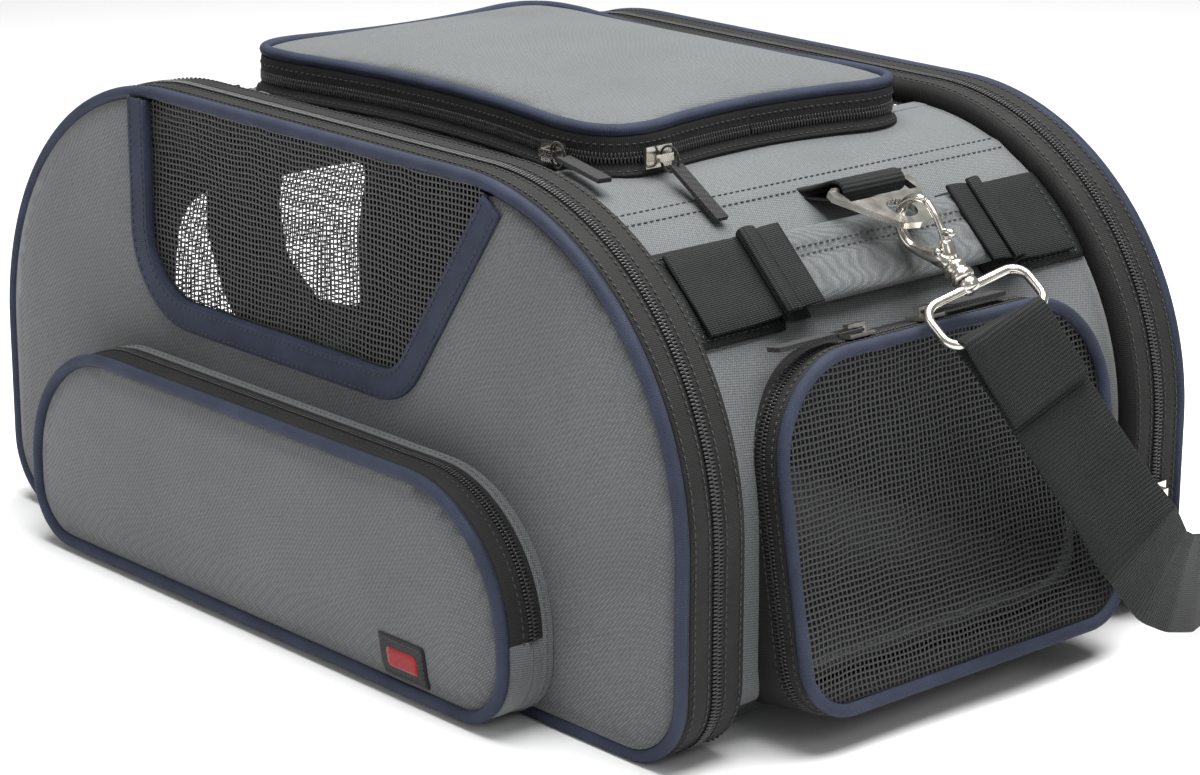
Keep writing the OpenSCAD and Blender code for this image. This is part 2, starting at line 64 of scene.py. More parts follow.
X, Y, Z = Vector((1, 0, 0)), Vector((0, 1, 0)), Vector((0, 0, 1))


# ---- camera, light and floor ----

def add_camera():
    yaw, pitch, roll = -0.84048, 0.28929, 0.00343
    forward = Vector((math.sin(yaw) * math.cos(pitch), math.cos(yaw) * math.cos(pitch), -math.sin(pitch)))
    side = Vector((math.cos(yaw), -math.sin(yaw), 0))
    up = side.cross(forward)
    right = side * math.cos(roll) + up * math.sin(roll)
    head = up * math.cos(roll) - side * math.sin(roll)
    data = bpy.data.cameras.new("view_camera")
    data.sensor_width = 36
    data.lens = 102
    data.clip_start = 0.05
    data.dof.use_dof = False
    camera = bpy.data.objects.new("view_camera", data)
    bpy.context.scene.collection.objects.link(camera)
    turn = Matrix((right, head, -forward)).transposed().to_4x4()
    camera.matrix_world = Matrix.Translation((1.04486, -0.91846, 0.4868)) @ turn
    bpy.context.scene.camera = camera


def add_light(name, place, target, size, watts, colour=(1, 1, 1)):
    data = bpy.data.lights.new(name, "AREA")
    data.shape = "DISK"
    data.size = size
    data.energy = watts
    data.color = colour
    lamp = bpy.data.objects.new(name, data)
    bpy.context.scene.collection.objects.link(lamp)
    aim = (Vector(target) - Vector(place)).to_track_quat("-Z", "Y").to_matrix().to_4x4()
    lamp.matrix_world = Matrix.Translation(place) @ aim


def add_studio():
    add_light("top_softbox", (0.15, 0.1, 1.5), (0.1, 0, 0.1), 1.5, 56)
    add_light("key_softbox", (1.7, -0.3, 1.3), (0.1, 0, 0.1), 0.7, 3)
    add_light("front_fill", (-0.6, -1.9, 0.8), (0.1, -0.5, 0), 1.2, 5)
    world = bpy.data.worlds.new("studio")
    bpy.context.scene.world = world
    world.use_nodes = True
    world.node_tree.nodes["Background"].inputs["Color"].default_value = (1, 1, 1, 1)
    world.node_tree.nodes["Background"].inputs["Strength"].default_value = 0.3
    bpy.context.scene.view_settings.view_transform = "Standard"


def add_floor():
    mesh = bpy.data.meshes.new("floor")
    span = 6
    mesh.from_pydata([(-span, -span, 0), (span, -span, 0), (span, span, 0), (-span, span, 0)], [],
                     [(0, 1, 2, 3)])
    floor = bpy.data.objects.new("floor", mesh)
    bpy.context.scene.collection.objects.link(floor)
    mat = bpy.data.materials.new("floor")
    mat.use_nodes = True
    shader = mat.node_tree.nodes["Principled BSDF"]
    shader.inputs["Base Color"].default_value = (0.97, 0.97, 0.97, 1)
    shader.inputs["Roughness"].default_value = 0.7
    mesh.materials.append(mat)


add_camera()
add_studio()
add_floor()


# ---- materials ----

class Nodes:
    """Short hand for building a material's node tree."""

    def __init__(self, name):
        self.mat = bpy.data.materials.new(name)
        self.mat.use_nodes = True
        self.tree = self.mat.node_tree
        self.shader = self.tree.nodes["Principled BSDF"]
        self.output = self.tree.nodes["Material Output"]

    def add(self, kind, **values):
        node = self.tree.nodes.new(kind)
        for key, value in values.items():
            if key in node.inputs:
                node.inputs[key].default_value = value
            else:
                setattr(node, key, value)
        return node

    def link(self, a, out, b, into):
        self.tree.links.new(a.outputs[out], b.inputs[into])

    def coords(self, kind="Object", turn=(0, 0, 0), stretch=(1, 1, 1)):
        source = self.add("ShaderNodeTexCoord")
        mapping = self.add("ShaderNodeMapping")
        mapping.inputs["Rotation"].default_value = turn
        mapping.inputs["Scale"].default_value = stretch
        self.link(source, kind, mapping, "Vector")
        return mapping

    def wave(self, mapping, period, axis="X", blur=0.0):
        node = self.add("ShaderNodeTexWave", wave_type="BANDS", bands_direction=axis)
        node.inputs["Scale"].default_value = 0.314 / period
        node.inputs["Distortion"].default_value = blur
        self.link(mapping, "Vector", node, "Vector")
        return node

    def noise(self, mapping, size, detail=2.0):
        node = self.add("ShaderNodeTexNoise")
        node.inputs["Scale"].default_value = 1 / size
        node.inputs["Detail"].default_value = detail
        self.link(mapping, "Vector", node, "Vector")
        return node

    def ramp(self, source, out, low, high, start=0.0, end=1.0):
        node = self.add("ShaderNodeValToRGB")
        node.color_ramp.elements[0].position = start
        node.color_ramp.elements[0].color = (*low, 1)
        node.color_ramp.elements[1].position = end
        node.color_ramp.elements[1].color = (*high, 1)
        self.link(source, out, node, "Fac")
        return node

    def mixed(self, a, out_a, b, out_b, how="MULTIPLY", share=1.0):
        node = self.add("ShaderNodeMixRGB", blend_type=how)
        node.inputs["Fac"].default_value = share
        self.link(a, out_a, node, "Color1")
        self.link(b, out_b, node, "Color2")
        return node

    def maths(self, how, a, out_a, b=None, out_b=None, value=None):
        node = self.add("ShaderNodeMath", operation=how)
        self.link(a, out_a, node, 0)
        if b is not None:
            self.link(b, out_b, node, 1)
        elif value is not None:
            node.inputs[1].default_value = value
        return node

    def bump(self, source, out, height, strength=1.0, under=None):
        node = self.add("ShaderNodeBump")
        node.inputs["Distance"].default_value = height
        node.inputs["Strength"].default_value = strength
        self.link(source, out, node, "Height")
        if under is not None:
            self.link(under, "Normal", node, "Normal")
        self.link(node, "Normal", self.shader, "Normal")
        return node


def woven(name, dark, light, thread, kind="Object", turn=(0.62, 0.58, 0.5), rough=0.85, depth=0.16):
    """Plain or twill cloth: crossing threads, slubs, and slow patches of wear."""
    n = Nodes(name)
    flat = n.coords(kind)
    tilted = n.coords(kind, turn=turn)
    fine = n.noise(flat, thread * 1.6, 3)
    patches = n.noise(flat, 0.05, 4)
    warp = n.wave(tilted, thread, "X", 0.6)
    weft = n.wave(tilted, thread * 1.15, "Z" if kind == "Object" else "Y", 0.6)
    third = n.wave(tilted, thread * 1.1, "Y", 0.6)
    cross = n.maths("MULTIPLY", warp, "Fac", weft, "Fac")
    both = n.maths("MULTIPLY", cross, "Value", third, "Fac") if kind == "Object" else cross
    mid = tuple((a + b) / 2 for a, b in zip(dark, light))
    colour = n.ramp(both, "Value", dark, light, 0.0, 0.55)
    slubs = n.ramp(fine, "Fac", (0.8, 0.8, 0.8), (1.15, 1.15, 1.15), 0.3, 0.7)
    wear = n.ramp(patches, "Fac", (0.9, 0.9, 0.9), (1.06, 1.06, 1.06), 0.3, 0.7)
    step = n.mixed(colour, "Color", slubs, "Color")
    final = n.mixed(step, "Color", wear, "Color")
    n.link(final, "Color", n.shader, "Base Color")
    rough_map = n.ramp(patches, "Fac", (rough - 0.07,) * 3, (min(1, rough + 0.07),) * 3)
    n.link(rough_map, "Color", n.shader, "Roughness")
    n.shader.inputs["Sheen Weight"].default_value = 0.25
    n.shader.inputs["Sheen Roughness"].default_value = 0.5
    n.shader.inputs["Specular IOR Level"].default_value = 0.25
    first = n.bump(fine, "Fac", thread * depth * 0.7)
    n.bump(both, "Value", thread * depth, under=first)
    n.mat.diffuse_color = (*mid, 1)
    return n.mat


def webbing(name, dark, light, rib=1.7 * MM, depth=0.35):
    """Ribbed tape: ribs across its run, finer threads along it. Follows the piece's own run and width."""
    n = Nodes(name)
    run = n.coords("UV")
    ribs = n.wave(run, rib, "X", 0.4)
    threads = n.wave(run, rib * 0.55, "Y", 0.8)
    fuzz = n.noise(run, 0.6 * MM, 3)
    patches = n.noise(run, 0.02, 3)
    both = n.maths("MULTIPLY", ribs, "Fac", threads, "Fac")
    colour = n.ramp(both, "Value", dark, light, 0.0, 0.8)
    wear = n.ramp(patches, "Fac", (0.8,) * 3, (1.2,) * 3, 0.3, 0.7)
    slubs = n.ramp(fuzz, "Fac", (0.75,) * 3, (1.25,) * 3, 0.3, 0.7)
    step = n.mixed(colour, "Color", wear, "Color")
    final = n.mixed(step, "Color", slubs, "Color")
    n.link(final, "Color", n.shader, "Base Color")
    n.shader.inputs["Roughness"].default_value = 0.7
    rough_map = n.ramp(fuzz, "Fac", (0.6,) * 3, (0.85,) * 3)
    n.link(rough_map, "Color", n.shader, "Roughness")
    n.shader.inputs["Specular IOR Level"].default_value = 0.3
    first = n.bump(fuzz, "Fac", rib * 0.1)
    n.bump(both, "Value", rib * depth, under=first)
    return n.mat


def netting(name, cell, cord, colour, kind="Object"):
    """Open knitted mesh: dark threads with clear holes between them, slightly uneven."""
    n = Nodes(name)
    wobble_at = n.coords(kind)
    wobble = n.noise(wobble_at, 0.03, 2)
    shift = n.add("ShaderNodeMixRGB", blend_type="ADD")
    shift.inputs["Fac"].default_value = 0.004
    n.link(wobble_at, "Vector", shift, "Color1")
    n.link(wobble, "Color", shift, "Color2")
    split = n.add("ShaderNodeSeparateXYZ")
    n.link(shift, "Color", split, "Vector")
    lines = []
    for axis in ("X", "Y"):
        scaled = n.maths("DIVIDE", split, axis, value=cell)
        part = n.maths("FRACT", scaled, "Value")
        centred = n.maths("SUBTRACT", part, "Value", value=0.5)
        lines.append(n.maths("ABSOLUTE", centred, "Value"))
    far = n.maths("MAXIMUM", lines[0], "Value", lines[1], "Value")
    thread = n.maths("GREATER_THAN", far, "Value", value=0.5 - cord / cell / 2)
    fuzz = n.noise(wobble_at, 0.5 * MM, 2)
    shade = n.ramp(fuzz, "Fac", tuple(c * 0.6 for c in colour), tuple(c * 1.6 for c in colour), 0.3, 0.7)
    n.link(shade, "Color", n.shader, "Base Color")
    n.shader.inputs["Roughness"].default_value = 0.5
    rough_map = n.ramp(fuzz, "Fac", (0.35,) * 3, (0.6,) * 3)
    n.link(rough_map, "Color", n.shader, "Roughness")
    n.link(thread, "Value", n.shader, "Alpha")
    n.bump(far, "Value", cord * 0.8)
    return n.mat


def metal(name, colour, rough):
    n = Nodes(name)
    at = n.coords("Object")
    grain = n.noise(at, 0.4 * MM, 3)
    smears = n.noise(at, 6 * MM, 3)
    tone = n.ramp(smears, "Fac", tuple(c * 0.86 for c in colour), tuple(min(1, c * 1.08) for c in colour),
                  0.3, 0.7)
    n.link(tone, "Color", n.shader, "Base Color")
    n.shader.inputs["Metallic"].default_value = 1
    rough_map = n.ramp(smears, "Fac", (rough * 0.6,) * 3, (rough * 1.5,) * 3)
    n.link(rough_map, "Color", n.shader, "Roughness")
    n.bump(grain, "Fac", 0.003 * MM)
    return n.mat


def plastic(name, colour, rough):
    n = Nodes(name)
    at = n.coords("Object")
    grain = n.noise(at, 0.5 * MM, 3)
    tone = n.ramp(grain, "Fac", tuple(c * 0.7 for c in colour), tuple(c * 1.4 for c in colour), 0.3, 0.7)
    n.link(tone, "Color", n.shader, "Base Color")
    rough_map = n.ramp(grain, "Fac", (rough * 0.8,) * 3, (rough * 1.3,) * 3)
    n.link(rough_map, "Color", n.shader, "Roughness")
    n.bump(grain, "Fac", 0.03 * MM)
    return n.mat


GREY = woven("grey_twill", (0.08, 0.086, 0.087), (0.178, 0.189, 0.193), 0.7 * MM)
GREY_RUN = woven("grey_twill_run", (0.08, 0.086, 0.087), (0.178, 0.189, 0.193), 0.7 * MM, "UV")
NAVY = webbing("navy_binding", (0.017, 0.022, 0.04), (0.05, 0.062, 0.11), 0.7 * MM, 0.2)
TAPE = webbing("black_zip_tape", (0.008, 0.008, 0.008), (0.035, 0.034, 0.032), 0.8 * MM, 0.2)
WEB = webbing("black_webbing", (0.004, 0.005, 0.005), (0.026, 0.029, 0.029), 1.5 * MM, 0.4)
THREAD = plastic("thread", (0.03, 0.03, 0.03), 0.6)
GREY_THREAD = plastic("grey_thread", (0.07, 0.075, 0.08), 0.7)
COIL = plastic("zip_coil", (0.03, 0.03, 0.03), 0.28)
NET = netting("open_mesh", 2.3 * MM, 0.8 * MM, (0.016, 0.016, 0.017), "UV")
NICKEL = metal("warm_nickel", (0.66, 0.63, 0.57), 0.22)
RED = woven("red_patch", (0.25, 0.01, 0.015), (0.5, 0.03, 0.04), 0.4 * MM)
PULL = woven("black_pull_tape", (0.006, 0.006, 0.006), (0.03, 0.03, 0.03), 0.9 * MM)
BLACK = woven("black_patch", (0.006, 0.006, 0.007), (0.02, 0.02, 0.02), 0.5 * MM)


# ---- outlines ----

def even(points, step, closed=True):
    """The same line with points at an even spacing close to step."""
    p = np.array(points, float)
    if closed:
        p = np.vstack([p, p[:1]])
    run = np.concatenate([[0], np.cumsum(np.linalg.norm(np.diff(p, axis=0), axis=1))])
    keep = np.concatenate([[True], np.diff(run) > 1e-9])
    p, run = p[keep], run[keep]
    count = max(3, int(round(run[-1] / step)))
    at = np.linspace(0, run[-1], count + 1)
    if closed:
        at = at[:-1]
    return np.stack([np.interp(at, run, p[:, i]) for i in range(p.shape[1])], axis=1)


def bow(cx, cy, r, start, end, count=40):
    angles = np.radians(np.linspace(start, end, count))
    return [(cx + r * math.cos(a), cy + r * math.sin(a)) for a in angles]


def rounded(half, low, high, crown, foot, cx=0.0, inset=0.0, step=3 * MM):
    """A closed outline, counter-clockwise from its lower middle."""
    half, low, high, crown, foot = half - inset, low + inset, high - inset, crown - inset, foot - inset
    points = [(cx, low)]
    points += bow(cx + half - foot, low + foot, foot, -90, 0)
    points += bow(cx + half - crown, high - crown, crown, 0, 90)
    points += bow(cx - half + crown, high - crown, crown, 90, 180)
    points += bow(cx - half + foot, low + foot, foot, 180, 270)
    return even(points, step)


def normals(points, closed=True):
    if closed:
        along = np.roll(points, -1, 0) - np.roll(points, 1, 0)
    else:
        along = np.gradient(points, axis=0)
    along /= np.linalg.norm(along, axis=1)[:, None]
    return np.stack([along[:, 1], -along[:, 0]], axis=1)


def signed(points, where):
    """Distance from each place to a closed outline, negative inside."""
    a, b = points, np.roll(points, -1, 0)
    d = b - a
    length2 = (d ** 2).sum(1)
    best = np.full(len(where), 1e9)
    inside = np.zeros(len(where), bool)
    for i in range(len(a)):
        rel = where - a[i]
        t = np.clip((rel @ d[i]) / length2[i], 0, 1)
        gap = rel - t[:, None] * d[i]
        best = np.minimum(best, (gap ** 2).sum(1))
        crosses = (a[i][1] > where[:, 1]) != (b[i][1] > where[:, 1])
        if abs(d[i][1]) > 1e-12:
            at = a[i][0] + (where[:, 1] - a[i][1]) * d[i][0] / d[i][1]
            inside ^= crosses & (where[:, 0] < at)
    return np.where(inside, -1, 1) * np.sqrt(best)


def place(origin, u, v):
    """Flat frame: u and v lie in it, w stands out of it."""
    u, v = Vector(u), Vector(v)
    m = Matrix((u, v, u.cross(v))).transposed().to_4x4()
    m.translation = Vector(origin)
    return m


# ---- mesh builders ----

SLOTS = {"black_zip_tape": "black_tape", "navy_binding": "navy_piping", "black_webbing": "black_webbing",
         "open_mesh": "mesh", "warm_nickel": "nickel", "grey_twill": "outer_fabric",
         "grey_twill_run": "outer_fabric"}


def finish_mesh(name, verts, faces, mats, body, uvs=None, smooth=True, face_mats=None, replaces=(),
                slot=None):
    mesh = bpy.data.meshes.new(name)
    mesh.from_pydata([tuple(v) for v in verts], [], [tuple(f) for f in faces])
    mats = mats if isinstance(mats, (list, tuple)) else [mats]
    for m in mats:
        mesh.materials.append(m)
    if uvs is not None:
        layer = mesh.uv_layers.new(name="run")
        for polygon in mesh.polygons:
            for k in polygon.loop_indices:
                layer.data[k].uv = uvs[mesh.loops[k].vertex_index]
    mesh.polygons.foreach_set("use_smooth", [smooth] * len(mesh.polygons))
    if face_mats is not None:
        mesh.polygons.foreach_set("material_index", face_mats)
    mesh.update()
    obj = bpy.data.objects.new(name, mesh)
    bpy.context.scene.collection.objects.link(obj)
    if body:
        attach(obj, body)
    if replaces:
        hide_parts(*replaces)
    slot = slot or SLOTS.get(mats[0].name.split(".")[0])
    return obj


def rim_frames(points, m, closed=True):
    """Place, outward and upward directions in the row frame for each point of a flat outline."""
    out = normals(points, closed)
    rot = np.array(m.to_3x3())
    at = points @ rot[:, :2].T + np.array(m.translation)
    return at, out @ rot[:, :2].T, np.tile(rot[:, 2], (len(points), 1))


def sweep(name, frames, profile, mat, body, closed=True, caps=True, **more):
    """Carries a closed profile of (outward, upward) pairs along a run of frames."""
    at, out, up = frames
    prof = np.array(profile, float)
    k = len(prof)
    n = len(at)
    if closed:
        at, out, up = (np.vstack([a, a[:1]]) for a in (at, out, up))
        n += 1
    if prof.ndim == 2:
        prof = np.tile(prof, (n, 1, 1))
    elif closed and len(prof) == n - 1:
        prof = np.vstack([prof, prof[:1]])
    k = prof.shape[1]
    verts = at[:, None, :] + prof[:, :, :1] * out[:, None, :] + prof[:, :, 1:2] * up[:, None, :]
    verts = verts.reshape(-1, 3)
    run = np.concatenate([[0], np.cumsum(np.linalg.norm(np.diff(at, axis=0), axis=1))])
    edge = np.linalg.norm(np.roll(prof[0], -1, 0) - prof[0], axis=1)
    across = np.concatenate([[0], np.cumsum(edge)[:-1]])
    uvs = [(run[i], across[j]) for i in range(n) for j in range(k)]
    faces = [(i * k + j, (i + 1) * k + j, (i + 1) * k + (j + 1) % k, i * k + (j + 1) % k)
             for i in range(n - 1) for j in range(k)]
    if not closed and caps:
        faces.append(tuple(range(k)))
        faces.append(tuple((n - 1) * k + j for j in reversed(range(k))))
    return finish_mesh(name, verts, faces, mat, body, uvs, **more)


def circle(r, count=12, squash=1.0, centre=(0, 0)):
    return [(centre[0] + r * math.cos(a), centre[1] + r * squash * math.sin(a))
            for a in np.linspace(0, 2 * math.pi, count, endpoint=False)]


def band(inner, outer, low, high, bulge=0.0, count=6):
    """Flat strip profile with softly rounded edges; bulge lifts its middle outward."""
    points = []
    for t in np.linspace(0, 1, count + 1):
        points.append((outer + bulge * math.sin(math.pi * t), low + (high - low) * t))
    for t in np.linspace(1, 0, 3):
        points.append((inner, low + (high - low) * t))
    return points


def repeat(name, frames, pitch, template, faces, mat, body, closed=True, shift=0.0, **more):
    """Copies of a small closed shape set along a run of frames."""
    at, out, up = frames
    if closed:
        at, out, up = (np.vstack([a, a[:1]]) for a in (at, out, up))
    run = np.concatenate([[0], np.cumsum(np.linalg.norm(np.diff(at, axis=0), axis=1))])
    stops = np.arange(shift, run[-1] - pitch * 0.5, pitch)
    parts = [np.stack([np.interp(stops, run, a[:, i]) for i in range(3)], axis=1) for a in (at, out, up)]
    along = np.cross(parts[2], parts[1])
    shape = np.array(template, float)
    verts = (parts[0][:, None, :] + shape[None, :, 0:1] * along[:, None, :]
             + shape[None, :, 1:2] * parts[1][:, None, :] + shape[None, :, 2:3] * parts[2][:, None, :])
    k = len(shape)
    every = [tuple(i * k + j for j in face) for i in range(len(stops)) for face in faces]
    return finish_mesh(name, verts.reshape(-1, 3), every, mat, body, **more)


def bead(length, out_low, out_high, w_low, w_high, sides=6):
    """A rounded lozenge: closed ring in the (along, outward) plane, swept across w and pinched at both ends."""
    verts, faces = [], []
    mid_out = (out_low + out_high) / 2
    levels = [(w_low, 0.45), (w_low + (w_high - w_low) * 0.2, 0.95), (w_high - (w_high - w_low) * 0.2, 0.95),
              (w_high, 0.45)]
    for w, grow in levels:
        for a in np.linspace(0, 2 * math.pi, sides, endpoint=False):
            verts.append((math.cos(a) * length / 2 * grow,
                          mid_out + math.sin(a) * (out_high - out_low) / 2 * grow, w))
    for i in range(len(levels) - 1):
        for j in range(sides):
            k = (j + 1) % sides
            faces.append((i * sides + j, i * sides + k, (i + 1) * sides + k, (i + 1) * sides + j))
    faces.append(tuple(reversed(range(sides))))
    faces.append(tuple((len(levels) - 1) * sides + j for j in range(sides)))
    return verts, faces


def half_coil(name, frames, side, level, out, body, closed=False):
    """One half of a zip's coil: ribs from the split line outwards to one side."""
    ends = sorted((level + side * 0.15 * MM, level + side * 2.3 * MM))
    shape, faces = bead(1.05 * MM, out, out + 1.0 * MM, ends[0] - (0.6 * MM if side > 0 else 0),
                        ends[1] + (0.6 * MM if side < 0 else 0))
    shift = 0.0 if side > 0 else 0.75 * MM
    return repeat(name, frames, 1.5 * MM, shape, faces, COIL, body, closed, shift)


def stitches(name, frames, out, w, body, closed=False, mat=None, length=2.2 * MM, pitch=3.1 * MM,
             thick=0.32 * MM):
    shape, faces = bead(1, -thick, thick * 0.9, -thick, thick, 5)
    shape = [(a * length, b + out, c + w) for a, b, c in shape]
    return repeat(name, frames, pitch, shape, faces, mat or THREAD, body, closed)


def panel(name, outline, bend, lift, mat, body, holes=(), step=4 * MM, thick=2.5 * MM, swap=False, **more):
    """Sewn cloth inside an outline. lift gives its height from (u, v, distance to the edge)."""
    low, high = outline.min(0) - step, outline.max(0) + step
    us = np.arange(low[0], high[0], step)
    vs = np.arange(low[1], high[1], step)
    grid = np.array([(u, v) for u in us for v in vs])

    def gauge(p):
        d = signed(outline, p)
        for hole in holes:
            d = np.maximum(d, -signed(hole, p))
        return d

    d = gauge(grid)
    nv = len(vs)
    faces = []
    for i in range(len(us) - 1):
        for j in range(nv - 1):
            corner = [i * nv + j, (i + 1) * nv + j, (i + 1) * nv + j + 1, i * nv + j + 1]
            if (d[corner] < step * 0.15).sum() >= 3 and d[corner].mean() < step * 0.2:
                faces.append(corner)
    edges = {}
    for face in faces:
        for a, b in zip(face, face[1:] + face[:1]):
            key = (min(a, b), max(a, b))
            edges[key] = edges.get(key, 0) + 1
    border = sorted({v for key, c in edges.items() if c == 1 for v in key})
    moved = grid.copy()
    e = 0.2 * MM
    for _ in range(3):
        p = moved[border]
        here = gauge(p)
        gx = (gauge(p + (e, 0)) - gauge(p - (e, 0))) / (2 * e)
        gy = (gauge(p + (0, e)) - gauge(p - (0, e))) / (2 * e)
        size = np.maximum(gx ** 2 + gy ** 2, 0.25)
        moved[border] = p - np.stack([here * gx / size, here * gy / size], axis=1)
    order = sorted({v for face in faces for v in face})
    index = {v: i for i, v in enumerate(order)}
    flat = moved[order]
    depth = -gauge(flat)
    height = lift(flat[:, 0], flat[:, 1], np.maximum(depth, 0))
    verts = bend(flat, height)
    faces = [tuple(index[v] for v in face) for face in faces]
    uvs = (flat[:, ::-1] if swap else flat).tolist()
    obj = finish_mesh(name, verts, faces, mat, None, uvs=uvs, **more)
    if thick:
        solid = obj.modifiers.new("thickness", "SOLIDIFY")
        solid.thickness = thick
        solid.offset = -1
    if body:
        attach(obj, body)
    return obj


def ripple(p, size, seed, detail=2):
    """Smooth noise from -1 to 1 at each place, the same on every run."""
    return np.array([noise.fractal(Vector((a / size + seed, b / size - seed, seed * 0.37)), 1.0, 2.0, detail)
                     for a, b in p])


def creases(u, v, size, height, seed):
    return ripple(np.stack([u, v], axis=1), size, seed) * height


def flat_bend(m):
    """Maps a place on a flat frame and a height above it into the row frame."""
    rot, origin = np.array(m.to_3x3()), np.array(m.translation)

    def bend(flat, height):
        return flat @ rot[:, :2].T + np.asarray(height)[:, None] * rot[:, 2] + origin
    return bend


# ---- side panels with their zipped rims ----

piping_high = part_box("front_wing_piping")[1]
HALF_L = piping_high.x
TOP_Z = piping_high.z
CROWN, FOOT = 124 * MM, 30 * MM
FACE_Y = 140 * MM
SPLIT_W = -(FACE_Y - 122.4 * MM)
RIM_W = -(FACE_Y - 108 * MM)
PIPE_R = 2.6 * MM
PIPE_SINK = 2.1 * MM
FOOT_END = 189.5 * MM

FRONT = place((0, -FACE_Y, 0), X, Z)
REAR = place((0, FACE_Y, 0), -X, Z)


def arch(inset, step=3 * MM):
    return rounded(HALF_L, 0, TOP_Z, CROWN, FOOT, inset=inset, step=step)


def over_top(points):
    """The part of a closed arch above its straight base, from the right foot over the top to the left foot."""
    keep = [i for i, (x, z) in enumerate(points) if not (abs(x) < FOOT_END - 1 * MM and z < 30 * MM)]
    start = next(i for i in keep if (i - 1) not in keep and i > 0)
    return points[start:keep[-1] + 1]


def window_outline():
    """The window's edge: down the left side, along the bottom and up the slanted right side."""
    left, low, left_r = -106 * MM, 118 * MM, 28 * MM
    right_x, right_r, slant = 47 * MM, 20 * MM, math.radians(56)
    points = [(left, 215 * MM)]
    points += bow(left + left_r, low + left_r, left_r, 180, 270)
    points += bow(right_x, low + right_r, right_r, -90, math.degrees(slant) - 90)
    end = points[-1]
    points.append((end[0] + 120 * MM * math.cos(slant), end[1] + 120 * MM * math.sin(slant)))
    return even(points, 3 * MM, closed=False)


pocket_low, pocket_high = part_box("pocket_piping")
POCKET_X = (pocket_low.x + pocket_high.x) / 2
POCKET_HALF = (pocket_high.x - pocket_low.x) / 2
POCKET_CROWN, POCKET_FOOT = 58 * MM, 26 * MM


def pocket_outline(inset):
    return rounded(POCKET_HALF, pocket_low.z, pocket_high.z, POCKET_CROWN, POCKET_FOOT, cx=POCKET_X,
                   inset=inset)


under_pocket = pocket_outline(5 * MM)


